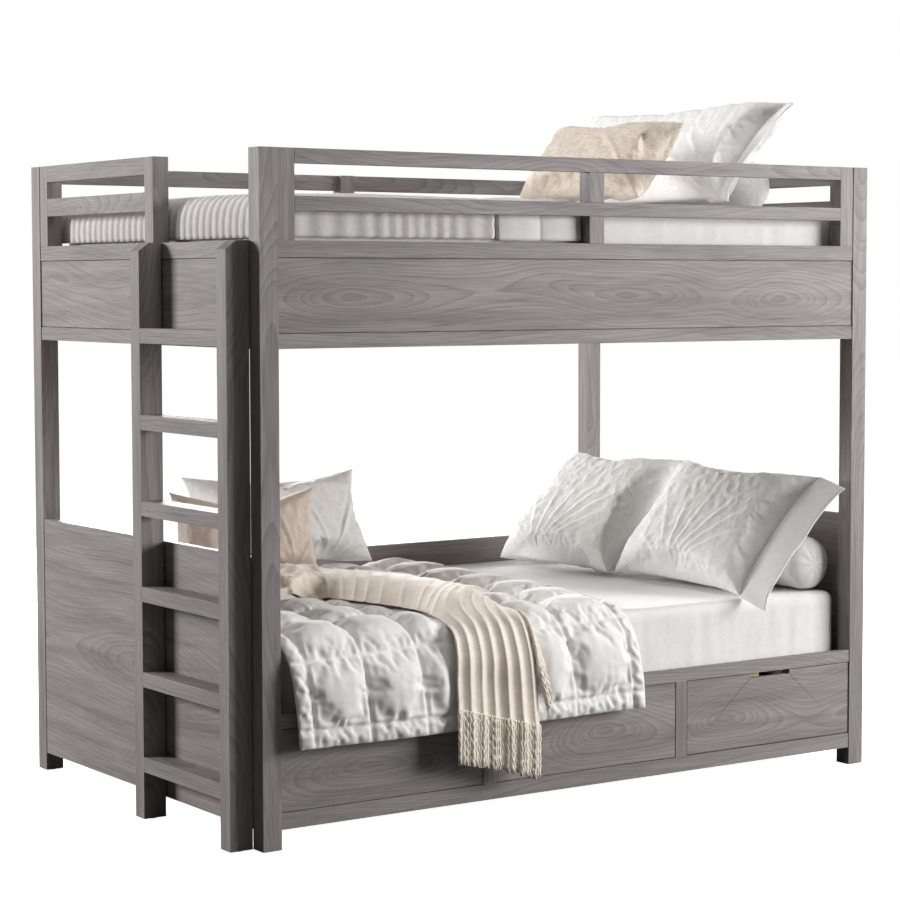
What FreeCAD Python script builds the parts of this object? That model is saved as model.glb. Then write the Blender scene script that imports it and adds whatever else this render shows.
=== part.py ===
"""Bunk bed with ladder: two full-length decks one above the other, in grey-stained wood.

The frame is the floor centre of the four posts.  +X runs along the bed away from the
ladder, +Y to the back and +Z up.  Millimetres throughout.
"""
import math
import os

import FreeCAD
import Part

# ---------------------------------------------------------------- overall sizes
LENGTH = 2193.0            # over the posts, along X
WIDTH = 1447.0             # over the posts, along Y
HEIGHT = 1900.0            # floor to the top of the posts
POST = 57.0                # square post, side

# ---------------------------------------------------------------- boards
BOARD_T = 25.0             # caps, bases and the lower end and back boards
BOARD_SET_BACK = 2.0       # board face behind the post face
PANEL_SET_BACK = 4.0       # panel face behind the post face
TONGUE_T = 8.0             # tongue along a panel's edge
TONGUE_H = 8.0
TONGUE_PLAY = 0.3
TENON_T = 12.0             # tenon on the end of a rail, let into a post or an upright
TENON_L = 24.0
TENON_SHOULDER = 5.0       # how much lower a tenon is than its rail, at each edge
TENON_PLAY = 0.25
BOARD_GAP = 2.0            # shadow gap between a panel and its cap or base

# ---------------------------------------------------------------- upper deck levels
UPPER_CAP_DROP = 247.0     # top of the upper cap below the top of the posts
UPPER_CAP_H = 45.0
UPPER_PANEL_H = 202.0
UPPER_BASE_H = 40.0

# ---------------------------------------------------------------- guards
GUARD_RAIL_T = 24.0
UPRIGHT_W = 53.0           # stiles and middle uprights
UPRIGHT_D = 50.0
MIDDLE_UPRIGHT_X = 29.0    # centre of the long guards' middle upright, from the bed's centre
LONG_TOP_H = 41.0          # front guard: top rail, then the middle rail and how far down it is
LONG_MID_H, LONG_MID_DROP = 40.0, 128.0
END_TOP_H = 51.0           # end and back guards
END_MID_H, END_MID_DROP = 55.0, 101.0
ENTRY_W = 563.0            # gap in the ladder-end guard, from the near post

# ---------------------------------------------------------------- lower deck levels
LOWER_BASE_Z = 58.0
LOWER_BASE_H = 46.0
LOWER_CAP_TOP = 371.0
LOWER_CAP_H = 37.0
DIVIDER_W = 42.5
BAYS = 3
END_BOARD_TOP = 800.0      # lower boards at the two ends
BACK_BOARD_TOP = 636.0

# ---------------------------------------------------------------- slats and their supports
LOWER_SLAT_DROP = 42.0     # slats below the top of the cap
UPPER_SLAT_DROP = 118.0
SLAT_T = 20.0
SLAT_W = 70.0
SLATS = 13
SLAT_END_GAP = 2.0
LEDGER_T = 28.0
LEDGER_H = 45.0
BEAM_W = 40.0
LEG_SPACING = 520.0

# ---------------------------------------------------------------- fittings
ANGLE_T = 3.0
ANGLE_LEG = 50.0
ANGLE_H = 30.0
SCREW_R = 2.5
SCREW_HEAD_R = 5.0
SCREW_HEAD_H = 3.0
SCREW_L = 18.0
SCREW_STAGGER = 6.0        # keeps a side's screws clear of an end's inside the post
GLIDE_R = 18.0
GLIDE_T = 3.0

# ---------------------------------------------------------------- ladder
LADDER_GAP = 2.5           # ladder rail to the posts' outer face
LADDER_D = 70.0            # along X
LADDER_RAIL_W = 53.5       # along Y
LADDER_SIDE_PLAY = 1.0     # to the far side of the guard opening
CHAMFER_OUT, CHAMFER_DOWN = 32.0, 24.5
RUNGS = 6
TOP_RUNG_DROP = 242.0      # top of the top rung below the top of the upper cap
LOWEST_RUNG_TOP = 183.0
RUNG_H = 43.0
RUNG_TENON_L = 25.0
RUNG_TENON_SHOULDER = 9.0
LADDER_BOLT_R = 4.0
LADDER_BOLT_PLAY = 0.25
LADDER_PLATE_W, LADDER_PLATE_H = 36.0, 38.0
LADDER_BOLT_L = 55.0

# ---------------------------------------------------------------- drawer and its runners
DRAWER_GAP = 2.5
DRAWER_FRONT_T = 20.0
DRAWER_BACK_CLEAR = 53.0   # drawer box to the bay's back board
DRAWER_WALL_T = 12.0
DRAWER_BOX_Z, DRAWER_BOX_H = 112.0, 138.0
DRAWER_FLOOR_T = 6.0
DRAWER_FLOOR_LIFT = 10.0
DRAWER_GROOVE_PLAY = 0.2
PULL_W, PULL_H, PULL_R = 162.0, 13.0, 5.0
BAY_BOARD_T = 18.0
BAY_BACK_CLEAR = 48.5      # bay's back board to the middle beam's legs
RUNNER_SPACE = 12.7        # between the bay board and the drawer side
RUNNER_SHORTER = 60.0      # runner shorter than the drawer box
RUNNER_H = 45.0
RUNNER_STEEL_T = 1.2
RUNNER_PLAY = 0.3
RUNNER_LIP_CLEAR = 3.0

# ---------------------------------------------------------------- bedding
MATTRESS_T = 230.0
MATTRESS_END_GAP = 29.5    # to the posts, at each end, were it in the middle
LOWER_MATTRESS_TO_HEAD = 19.5    # how far the lower mattress is pushed to the head end
MATTRESS_SIDE_GAP = 1.5    # to the guard uprights, on each side
COVER_T = 28.0             # comforter and quilt
COVER_LIFT = 2.0           # air between one soft layer and the next
COVER_BOTTOM = 262.0       # hem of the comforter, above the floor
COVER_HEAD_GAP = 826.5     # comforter's end to the head-end posts' outer face
COVER_DROP_IN = 70.0       # its hanging part pulls in by this much at that end
THROW_T = 20.0
THROW_X0, THROW_X1 = 586.5, 901.5     # the hanging part, from the ladder-end posts' outer face
THROW_BOTTOM = 120.0
THROW_BAND_W = 335.0       # the gathered band across the bed
THROW_BAND_H = 55.0
THROW_BUNCH_W = 630.0      # the crumpled bunch at its back end
THROW_BUNCH_H = 70.0
THROW_PILLOW_GAP = 10.0    # from the bunch to the pillow behind it
COVERLET_W = 299.0
COVERLET_X1 = -0.5         # its end, from the bed's centre
PILLOW_EDGE_R = 35.0
BOLSTER_R = 84.0

# ---------------------------------------------------------------- worked out from the above
X0, X1 = -LENGTH / 2, LENGTH / 2
Y0, Y1 = -WIDTH / 2, WIDTH / 2
UPPER_CAP_TOP = HEIGHT - UPPER_CAP_DROP
LOWER_SLAT_TOP = LOWER_CAP_TOP - LOWER_SLAT_DROP
UPPER_SLAT_TOP = UPPER_CAP_TOP - UPPER_SLAT_DROP
BOARD_IN = BOARD_SET_BACK + BOARD_T                 # inner face of a board, from the post face
PANEL_T = BOARD_IN - PANEL_SET_BACK                 # a panel's inner face lines up with the boards
UPRIGHT_IN = BOARD_SET_BACK + UPRIGHT_D
MATTRESS_L = LENGTH - 2 * (POST + MATTRESS_END_GAP)
MATTRESS_W = WIDTH - 2 * (UPRIGHT_IN + MATTRESS_SIDE_GAP)
SPAN = {"front": LENGTH, "back": LENGTH, "ladder_end": WIDTH, "head_end": WIDTH}
SIDES = tuple(SPAN)
UPPER_CAP_Z = UPPER_CAP_TOP - UPPER_CAP_H
UPPER_PANEL_Z = UPPER_CAP_Z - BOARD_GAP - UPPER_PANEL_H
UPPER_BASE_Z = UPPER_PANEL_Z - BOARD_GAP - UPPER_BASE_H
LOWER_CAP_Z = LOWER_CAP_TOP - LOWER_CAP_H
LOWER_BASE_TOP = LOWER_BASE_Z + LOWER_BASE_H
BAY_W = (LENGTH - 2 * POST - (BAYS - 1) * DIVIDER_W) / BAYS
BAY_X0, BAY_X1 = X1 - POST - BAY_W, X1 - POST       # the drawer's bay, at the head end
LADDER_X1 = X0 - LADDER_GAP
LADDER_X0 = LADDER_X1 - LADDER_D
LADDER_TOP = UPPER_CAP_TOP
LADDER_Y1 = Y0 + POST + ENTRY_W - LADDER_SIDE_PLAY
LADDER_Y0 = Y0 + POST - 2.5
ANGLE_LEVELS = (UPPER_BASE_Z + UPPER_BASE_H / 2, LOWER_CAP_Z + LOWER_CAP_H / 2)

os.makedirs("parts", exist_ok=True)


# ---------------------------------------------------------------- helpers
def box(x0, x1, y0, y1, z0, z1):
    """A box between two corners."""
    return Part.makeBox(x1 - x0, y1 - y0, z1 - z0, FreeCAD.Vector(x0, y0, z0))


def rod(r, length, start, direction):
    """A cylinder from start, along direction."""
    return Part.makeCylinder(r, length, FreeCAD.Vector(*start), FreeCAD.Vector(*direction))


def fuse(*solids):
    """One solid from several that touch or overlap."""
    return solids[0].multiFuse(list(solids[1:])).removeSplitter()


def cut(solid, tools):
    """The solid with every tool taken away."""
    return solid.cut(Part.makeCompound(tools)) if tools else solid


def only_solids(shape):
    """A clean compound, or the solid itself if there is one."""
    return shape.Solids[0] if len(shape.Solids) == 1 else Part.makeCompound(shape.Solids)


def save(node, *solids):
    """Write one node; a node of several equal pieces is a compound."""
    shape = only_solids(solids[0] if len(solids) == 1 else Part.makeCompound(list(solids)))
    shape.exportStep("parts/" + node + ".step")


def on_side(side, a0, a1, d0, d1, z0, z1):
    """A box in one side of the bed: a runs along the side from its middle, d inwards
    from the post face."""
    if side == "front":
        return box(a0, a1, Y0 + d0, Y0 + d1, z0, z1)
    if side == "back":
        return box(a0, a1, Y1 - d1, Y1 - d0, z0, z1)
    if side == "ladder_end":
        return box(X0 + d0, X0 + d1, a0, a1, z0, z1)
    return box(X1 - d1, X1 - d0, a0, a1, z0, z1)


def tenon(side, end, at, set_back, thick, z0, z1, play=0.0):
    """The tenon past a shoulder at `at`; end is -1 or +1.  With play it is the mortise."""
    d0 = set_back + (thick - TENON_T) / 2
    a0, a1 = sorted((at - end * 0.5, at + end * (TENON_L + play)))
    return on_side(side, a0, a1, d0 - play, d0 + TENON_T + play,
                   z0 + TENON_SHOULDER - play, z1 - TENON_SHOULDER + play)


def rail(side, z0, z1, thick=BOARD_T, set_back=BOARD_SET_BACK, a0=None, a1=None):
    """A board between two posts, or between a0 and a1, with a tenon at each end."""
    half = SPAN[side] / 2 - POST
    a0, a1 = -half if a0 is None else a0, half if a1 is None else a1
    body = on_side(side, a0, a1, set_back, set_back + thick, z0, z1)
    return fuse(body, *(tenon(side, e, a, set_back, thick, z0, z1) for e, a in ((-1, a0), (1, a1))))


# ---------------------------------------------------------------- which rails meet which posts
# Each entry: thickness, set back, bottom and top.
POST_RAILS = {side: [(BOARD_T, BOARD_SET_BACK, UPPER_CAP_Z, UPPER_CAP_TOP),
                     (BOARD_T, BOARD_SET_BACK, UPPER_BASE_Z, UPPER_BASE_Z + UPPER_BASE_H)]
              for side in SIDES}
POST_RAILS["front"] += [(BOARD_T, BOARD_SET_BACK, LOWER_CAP_Z, LOWER_CAP_TOP),
                        (BOARD_T, BOARD_SET_BACK, LOWER_BASE_Z, LOWER_BASE_TOP)]
LOWER_BOARDS = {"back": BACK_BOARD_TOP, "ladder_end": END_BOARD_TOP, "head_end": END_BOARD_TOP}
for side, top in LOWER_BOARDS.items():
    POST_RAILS[side].append((BOARD_T, BOARD_SET_BACK, LOWER_BASE_Z, top))
END_GUARD_RAILS = [(HEIGHT - END_TOP_H, HEIGHT),
                   (HEIGHT - END_MID_DROP - END_MID_H, HEIGHT - END_MID_DROP)]
FRONT_GUARD_RAILS = [(HEIGHT - LONG_TOP_H, HEIGHT),
                     (HEIGHT - LONG_MID_DROP - LONG_MID_H, HEIGHT - LONG_MID_DROP)]
for side in ("back", "head_end"):
    POST_RAILS[side] += [(GUARD_RAIL_T, BOARD_SET_BACK, z0, z1) for z0, z1 in END_GUARD_RAILS]


# ---------------------------------------------------------------- corner angles and screws
def angle_places():
    """Side, end, where the post's side face is, and level, for each corner angle."""
    for side in SIDES:
        for end in (-1, 1):
            for level in ANGLE_LEVELS:
                yield side, end, end * (SPAN[side] / 2 - POST), level


def along(side, a, d, z):
    """A point in one side of the bed."""
    return {"front": (a, Y0 + d, z), "back": (a, Y1 - d, z),
            "ladder_end": (X0 + d, a, z), "head_end": (X1 - d, a, z)}[side]


def directions(side):
    """Unit vectors: along the side, and inwards."""
    return {"front": ((1, 0, 0), (0, 1, 0)), "back": ((1, 0, 0), (0, -1, 0)),
            "ladder_end": ((0, 1, 0), (1, 0, 0)), "head_end": ((0, 1, 0), (-1, 0, 0))}[side]


def times(vector, k):
    return tuple(k * v for v in vector)


def screw_axes(side, end, face, level):
    """Start (on the angle's surface) and direction of an angle's two screws."""
    run, inwards = directions(side)
    z = level + (SCREW_STAGGER if side in ("front", "back") else -SCREW_STAGGER)
    in_rail = along(side, face - end * (ANGLE_T + ANGLE_LEG) / 2, BOARD_IN + ANGLE_T, z)
    in_post = along(side, face - end * ANGLE_T, (BOARD_IN + ANGLE_T + POST) / 2, z)
    return (in_rail, times(inwards, -1)), (in_post, times(run, end))


def angle(side, end, face, level):
    """A steel corner angle: one leg on the rail, one on the post."""
    z0, z1 = level - ANGLE_H / 2, level + ANGLE_H / 2
    a0, a1 = sorted((face, face - end * ANGLE_LEG))
    b0, b1 = sorted((face, face - end * ANGLE_T))
    legs = fuse(on_side(side, a0, a1, BOARD_IN, BOARD_IN + ANGLE_T, z0, z1),
                on_side(side, b0, b1, BOARD_IN, POST - 1, z0, z1))
    return cut(legs, [rod(SCREW_R, 3 * ANGLE_T, tuple(s - ANGLE_T * v for s, v in zip(start, way)), way)
                      for start, way in screw_axes(side, end, face, level)])


def screw(start, way, r, length, head_r, head_h):
    """A round-headed screw or bolt whose head stands on start."""
    back = tuple(s - head_h * v for s, v in zip(start, way))
    return fuse(rod(head_r, head_h, back, way), rod(r, length, start, way))


ANGLE_SCREWS = [axis for place in angle_places() for axis in screw_axes(*place)]
SCREW_HOLES = [rod(SCREW_R, SCREW_L + 1, start, way) for start, way in ANGLE_SCREWS]


def screwed(solid):
    """The solid with the angle screws' holes that reach it."""
    return cut(solid, [h for h in SCREW_HOLES if h.BoundBox.intersect(solid.BoundBox)])


# ---------------------------------------------------------------- posts
def post(x_end, y_end):
    """A post on its glide; x_end and y_end are -1 or +1."""
    x0, y0 = min(x_end * X1, x_end * (X1 - POST)), min(y_end * Y1, y_end * (Y1 - POST))
    solid = box(x0, x0 + POST, y0, y0 + POST, GLIDE_T, HEIGHT)
    meets = [("front" if y_end < 0 else "back", x_end), ("ladder_end" if x_end < 0 else "head_end", y_end)]
    mortises = [tenon(side, end, end * (SPAN[side] / 2 - POST), set_back, thick, z0, z1, TENON_PLAY)
                for side, end in meets for thick, set_back, z0, z1 in POST_RAILS[side]]
    return screwed(cut(solid, mortises))


save("post_front_ladder", post(-1, -1))
save("post_front_head", post(1, -1))
save("post_back_ladder", post(-1, 1))
save("post_back_head", post(1, 1))


# ---------------------------------------------------------------- ladder bolts, shared by rails and ladder
LADDER_RAIL_YS = (LADDER_Y0 + LADDER_RAIL_W / 2 + 4, LADDER_Y1 - LADDER_RAIL_W / 2)
LADDER_BOLT_ZS = (UPPER_CAP_Z + UPPER_CAP_H / 2, END_BOARD_TOP - 60, LOWER_BASE_Z + 182)
LADDER_BOLTS = [(y, z) for y in LADDER_RAIL_YS for z in LADDER_BOLT_ZS]
LADDER_BOLT_HOLES = [rod(LADDER_BOLT_R + LADDER_BOLT_PLAY, LADDER_BOLT_L + 6,
                         (X0 + BOARD_IN, y, z), (-1, 0, 0)) for y, z in LADDER_BOLTS]


# ---------------------------------------------------------------- upper deck frame
def drilled(side, solid):
    """Screw holes, and the ladder's bolt holes on the ladder end."""
    solid = screwed(solid)
    return cut(solid, LADDER_BOLT_HOLES) if side == "ladder_end" else solid


def groove(side, z0, z1):
    """The groove that takes a panel's tongue."""
    half = SPAN[side] / 2
    d0 = PANEL_SET_BACK + (PANEL_T - TONGUE_T) / 2
    return on_side(side, -half, half, d0 - TONGUE_PLAY, d0 + TONGUE_T + TONGUE_PLAY, z0, z1)


def panel(side, a0, a1, z0, z1, set_back=PANEL_SET_BACK):
    """A panel with a tongue along its top and bottom edges."""
    d0 = set_back + (PANEL_T - TONGUE_T) / 2
    reach = BOARD_GAP + TONGUE_H
    return fuse(on_side(side, a0, a1, set_back, set_back + PANEL_T, z0, z1),
                on_side(side, a0, a1, d0, d0 + TONGUE_T, z0 - reach, z1 + reach))


PANEL_TOP = UPPER_PANEL_Z + UPPER_PANEL_H
for side in SIDES:
    half = SPAN[side] / 2 - POST
    cap = cut(rail(side, UPPER_CAP_Z, UPPER_CAP_TOP),
              [groove(side, UPPER_CAP_Z - 1, UPPER_CAP_Z + TONGUE_H + TONGUE_PLAY)])
    base = cut(rail(side, UPPER_BASE_Z, UPPER_BASE_Z + UPPER_BASE_H),
               [groove(side, UPPER_PANEL_Z - BOARD_GAP - TONGUE_H - TONGUE_PLAY, UPPER_PANEL_Z)])
    save("upper_" + side + "_rails", drilled(side, cap), drilled(side, base))
    save("upper_" + side + "_panel", panel(side, -half, half, UPPER_PANEL_Z, PANEL_TOP))


# ---------------------------------------------------------------- guards
def upright(side, centre, rails, notched, facing=0):
    """A guard upright on the cap.  A middle one is notched for the rails that run across
    it; a stile takes their tenons in the face towards `facing`."""
    a0, a1 = centre - UPRIGHT_W / 2, centre + UPRIGHT_W / 2
    solid = on_side(side, a0, a1, BOARD_SET_BACK, UPRIGHT_IN, UPPER_CAP_TOP, HEIGHT)
    if notched:
        return cut(solid, [on_side(side, a0 - 1, a1 + 1, 0, BOARD_SET_BACK + GUARD_RAIL_T, z0, z1)
                           for z0, z1 in rails])
    face = centre + facing * UPRIGHT_W / 2
    return cut(solid, [tenon(side, -facing, face, BOARD_SET_BACK, GUARD_RAIL_T, z0, z1, TENON_PLAY)
                       for z0, z1 in rails])


def guard_rails(side, rails, a0=None, a1=None):
    return [rail(side, z0, z1, GUARD_RAIL_T, BOARD_SET_BACK, a0, a1) for z0, z1 in rails]


STILE_X = LENGTH / 2 - POST - UPRIGHT_W / 2         # centre of a stile beside a post, long side
STILE_Y = WIDTH / 2 - POST - UPRIGHT_W / 2          # the same on an end
ENTRY_STILE_Y = Y0 + POST + ENTRY_W + UPRIGHT_W / 2 # the stile beside the ladder opening

save("guard_front_rails", *guard_rails("front", FRONT_GUARD_RAILS,
                                       -STILE_X + UPRIGHT_W / 2, STILE_X - UPRIGHT_W / 2))
save("guard_front_uprights", upright("front", -STILE_X, FRONT_GUARD_RAILS, False, 1),
     upright("front", MIDDLE_UPRIGHT_X, FRONT_GUARD_RAILS, True),
     upright("front", STILE_X, FRONT_GUARD_RAILS, False, -1))
save("guard_back_rails", *guard_rails("back", END_GUARD_RAILS))
save("guard_back_upright", upright("back", MIDDLE_UPRIGHT_X, END_GUARD_RAILS, True))
save("guard_ladder_end_rails", *guard_rails("ladder_end", END_GUARD_RAILS,
                                            ENTRY_STILE_Y + UPRIGHT_W / 2, STILE_Y - UPRIGHT_W / 2))
save("guard_ladder_end_uprights", upright("ladder_end", ENTRY_STILE_Y, END_GUARD_RAILS, False, 1),
     upright("ladder_end", STILE_Y, END_GUARD_RAILS, False, -1))
save("guard_head_end_rails", *guard_rails("head_end", END_GUARD_RAILS))
save("guard_head_end_upright", upright("head_end", 0, END_GUARD_RAILS, True))

# ---------------------------------------------------------------- lower deck frame
lower_half = LENGTH / 2 - POST
lower_cap = cut(rail("front", LOWER_CAP_Z, LOWER_CAP_TOP),
                [on_side("front", X0, BAY_X0 - DIVIDER_W, PANEL_SET_BACK + (PANEL_T - TONGUE_T) / 2 - TONGUE_PLAY,
                         PANEL_SET_BACK + (PANEL_T + TONGUE_T) / 2 + TONGUE_PLAY,
                         LOWER_CAP_Z - 1, LOWER_CAP_Z + TONGUE_H + TONGUE_PLAY)])
lower_base = cut(rail("front", LOWER_BASE_Z, LOWER_BASE_TOP),
                 [on_side("front", X0, BAY_X0 - DIVIDER_W, PANEL_SET_BACK + (PANEL_T - TONGUE_T) / 2 - TONGUE_PLAY,
                          PANEL_SET_BACK + (PANEL_T + TONGUE_T) / 2 + TONGUE_PLAY,
                          LOWER_BASE_TOP - TONGUE_H - TONGUE_PLAY, LOWER_BASE_TOP + 1)])
save("lower_front_rails", screwed(lower_cap), screwed(lower_base))

panels, dividers = [], []
for bay in range(BAYS - 1):
    a0 = -lower_half + bay * (BAY_W + DIVIDER_W)
    tongues = LOWER_BASE_TOP + BOARD_GAP, LOWER_CAP_Z - BOARD_GAP
    panels.append(panel("front", a0, a0 + BAY_W, *tongues))
    dividers.append(cut(on_side("front", a0 + BAY_W, a0 + BAY_W + DIVIDER_W, BOARD_SET_BACK, BOARD_IN,
                                LOWER_BASE_TOP, LOWER_CAP_Z), panels))
save("lower_front_panels", *panels)
save("lower_front_dividers", *dividers)
for side, top in LOWER_BOARDS.items():
    save("lower_" + side + "_board", drilled(side, rail(side, LOWER_BASE_Z, top)))


# ---------------------------------------------------------------- slats, ledgers, beams and legs
def slats(top):
    """Slats across the bed, evenly spread over the mattress's length."""
    first, step = -(MATTRESS_L - SLAT_W) / 2, (MATTRESS_L - SLAT_W) / (SLATS - 1)
    reach = WIDTH / 2 - BOARD_IN - SLAT_END_GAP
    return [box(first + i * step - SLAT_W / 2, first + i * step + SLAT_W / 2, -reach, reach, top - SLAT_T, top)
            for i in range(SLATS)]


def ledgers(slat_top):
    """The two long ledgers that carry the slats' ends, between the posts."""
    z1 = slat_top - SLAT_T
    return [on_side(side, -lower_half, lower_half, BOARD_IN, BOARD_IN + LEDGER_T, z1 - LEDGER_H, z1)
            for side in ("front", "back")]


def beam(slat_top):
    """The beam along the middle, from end board to end board."""
    z1 = slat_top - SLAT_T
    return box(X0 + BOARD_IN, X1 - BOARD_IN, -BEAM_W / 2, BEAM_W / 2, z1 - LEDGER_H, z1)


save("lower_slats", *slats(LOWER_SLAT_TOP))
save("upper_slats", *slats(UPPER_SLAT_TOP))
save("lower_ledgers", *ledgers(LOWER_SLAT_TOP))
save("upper_ledgers", *ledgers(UPPER_SLAT_TOP))
save("centre_beams", beam(LOWER_SLAT_TOP), beam(UPPER_SLAT_TOP))
LEG_XS = [k * LEG_SPACING for k in (-1, 0, 1)]
save("centre_legs", *(box(x - BEAM_W / 2, x + BEAM_W / 2, -BEAM_W / 2, BEAM_W / 2, GLIDE_T,
                          LOWER_SLAT_TOP - SLAT_T - LEDGER_H) for x in LEG_XS))

# ---------------------------------------------------------------- fittings
save("corner_angles", *(angle(*place) for place in angle_places()))
save("angle_screws", *(screw(start, way, SCREW_R, SCREW_L, SCREW_HEAD_R, SCREW_HEAD_H)
                       for start, way in ANGLE_SCREWS))
post_feet = [(x * (X1 - POST / 2), y * (Y1 - POST / 2)) for x in (-1, 1) for y in (-1, 1)]
LADDER_X = (LADDER_X0 + LADDER_X1) / 2
ladder_feet = [(LADDER_X, y) for y in (LADDER_Y0 + LADDER_RAIL_W / 2, LADDER_Y1 - LADDER_RAIL_W / 2)]
save("floor_glides", *(rod(GLIDE_R, GLIDE_T, (x, y, 0), (0, 0, 1))
                       for x, y in post_feet + ladder_feet + [(x, 0) for x in LEG_XS]))

# ---------------------------------------------------------------- ladder
TOP_RUNG_TOP = LADDER_TOP - TOP_RUNG_DROP
RUNG_PITCH = (TOP_RUNG_TOP - LOWEST_RUNG_TOP) / (RUNGS - 1)
RUNG_TOPS = [TOP_RUNG_TOP - i * RUNG_PITCH for i in range(RUNGS)]
RUNG_Y0, RUNG_Y1 = LADDER_Y0 + LADDER_RAIL_W, LADDER_Y1 - LADDER_RAIL_W


def rung_tenons(top, play=0.0):
    """A rung's tenon right through from rail to rail; with play it cuts both mortises."""
    s = RUNG_TENON_SHOULDER - play
    return box(LADDER_X0 + s, LADDER_X1 - s, RUNG_Y0 - RUNG_TENON_L - play, RUNG_Y1 + RUNG_TENON_L + play,
               top - RUNG_H + s, top - s)


def ladder_rail(y0):
    """A ladder rail whose outer top corner is cut away."""
    x0, x1, top = LADDER_X0, LADDER_X1, LADDER_TOP
    outline = [(x0, GLIDE_T), (x1, GLIDE_T), (x1, top), (x0 + CHAMFER_OUT, top), (x0, top - CHAMFER_DOWN)]
    wire = Part.makePolygon([FreeCAD.Vector(x, y0, z) for x, z in outline + outline[:1]])
    solid = Part.Face(wire).extrude(FreeCAD.Vector(0, LADDER_RAIL_W, 0))
    return cut(solid, [rung_tenons(top, TENON_PLAY) for top in RUNG_TOPS] + LADDER_BOLT_HOLES)


save("ladder_near_rail", ladder_rail(LADDER_Y0))
save("ladder_far_rail", ladder_rail(LADDER_Y1 - LADDER_RAIL_W))
save("ladder_rungs", *(fuse(box(LADDER_X0, LADDER_X1, RUNG_Y0, RUNG_Y1, top - RUNG_H, top), rung_tenons(top))
                       for top in RUNG_TOPS))
save("ladder_plates", *(cut(box(LADDER_X1, X0 + BOARD_SET_BACK, y - LADDER_PLATE_W / 2, y + LADDER_PLATE_W / 2,
                                z - LADDER_PLATE_H / 2, z + LADDER_PLATE_H / 2), LADDER_BOLT_HOLES)
                        for y, z in LADDER_BOLTS))
save("ladder_bolts", *(screw((X0 + BOARD_IN, y, z), (-1, 0, 0), LADDER_BOLT_R, LADDER_BOLT_L, 8, 5)
                       for y, z in LADDER_BOLTS))

# ---------------------------------------------------------------- drawer
BAY_DEPTH = WIDTH / 2 - BOARD_IN - BAY_BOARD_T - BEAM_W / 2 - BAY_BACK_CLEAR
BAY_Y0, BAY_Y1 = Y0 + BOARD_IN, Y0 + BOARD_IN + BAY_DEPTH
FRONT_D = PANEL_SET_BACK + DRAWER_FRONT_T           # drawer front's inner face, from the post face
BOX_X0, BOX_X1 = BAY_X0 + RUNNER_SPACE, BAY_X1 - RUNNER_SPACE
BOX_Y0 = Y0 + FRONT_D
BOX_Y1 = BAY_Y1 - DRAWER_BACK_CLEAR
BOX_Z1 = DRAWER_BOX_Z + DRAWER_BOX_H
BAY_X = (BAY_X0 + BAY_X1) / 2
FLOOR_Z0 = DRAWER_BOX_Z + DRAWER_FLOOR_LIFT
FLOOR_Z1 = FLOOR_Z0 + DRAWER_FLOOR_T

front_top = LOWER_CAP_Z - DRAWER_GAP
pull = on_side("front", BAY_X - PULL_W / 2, BAY_X + PULL_W / 2, 0, POST, front_top - PULL_H, front_top + PULL_H)
pull = pull.makeFillet(PULL_R, [e for e in pull.Edges if e.CenterOfMass.z < front_top - PULL_H + 0.1
                                and abs(e.CenterOfMass.x - BAY_X) > 1])
save("drawer_front", on_side("front", BAY_X0 + DRAWER_GAP, BAY_X1 - DRAWER_GAP, PANEL_SET_BACK, FRONT_D,
                             LOWER_BASE_TOP + DRAWER_GAP, front_top).cut(pull))

floor_depth = DRAWER_WALL_T / 2                     # how deep the drawer floor sits in each wall
floor_groove = box(BOX_X0 + floor_depth - DRAWER_GROOVE_PLAY, BOX_X1 - floor_depth + DRAWER_GROOVE_PLAY,
                   BOX_Y0 + floor_depth - DRAWER_GROOVE_PLAY, BOX_Y1 - floor_depth + DRAWER_GROOVE_PLAY,
                   FLOOR_Z0 - DRAWER_GROOVE_PLAY, FLOOR_Z1 + DRAWER_GROOVE_PLAY)
save("drawer_sides", *(box(x, x + DRAWER_WALL_T, BOX_Y0, BOX_Y1, DRAWER_BOX_Z, BOX_Z1).cut(floor_groove)
                       for x in (BOX_X0, BOX_X1 - DRAWER_WALL_T)))
save("drawer_ends", *(box(BOX_X0 + DRAWER_WALL_T, BOX_X1 - DRAWER_WALL_T, y, y + DRAWER_WALL_T,
                          DRAWER_BOX_Z, BOX_Z1).cut(floor_groove) for y in (BOX_Y0, BOX_Y1 - DRAWER_WALL_T)))
save("drawer_floor", box(BOX_X0 + floor_depth, BOX_X1 - floor_depth, BOX_Y0 + floor_depth, BOX_Y1 - floor_depth,
                         FLOOR_Z0, FLOOR_Z1))

# The bay behind the drawer front: a board each side for the runners, and one across the back.
BAY_TOP = LOWER_SLAT_TOP - SLAT_T - LEDGER_H
save("drawer_bay_boards",
     box(BAY_X0 - BAY_BOARD_T, BAY_X0, BAY_Y0, BAY_Y1, LOWER_BASE_Z, BAY_TOP),
     box(BAY_X1, BAY_X1 + BAY_BOARD_T, Y0 + POST, BAY_Y1, LOWER_BASE_Z, BAY_TOP),
     box(BAY_X0 - BAY_BOARD_T, BAY_X1 + BAY_BOARD_T, BAY_Y1, BAY_Y1 + BAY_BOARD_T, LOWER_BASE_Z, BAY_TOP))

# ---------------------------------------------------------------- telescopic runners
RUNNER_Z = DRAWER_BOX_Z + DRAWER_BOX_H / 2
RUNNER_Y0 = Y0 + POST + 2
RUNNER_L = BOX_Y1 - BOX_Y0 - RUNNER_SHORTER
T = RUNNER_STEEL_T


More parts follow.
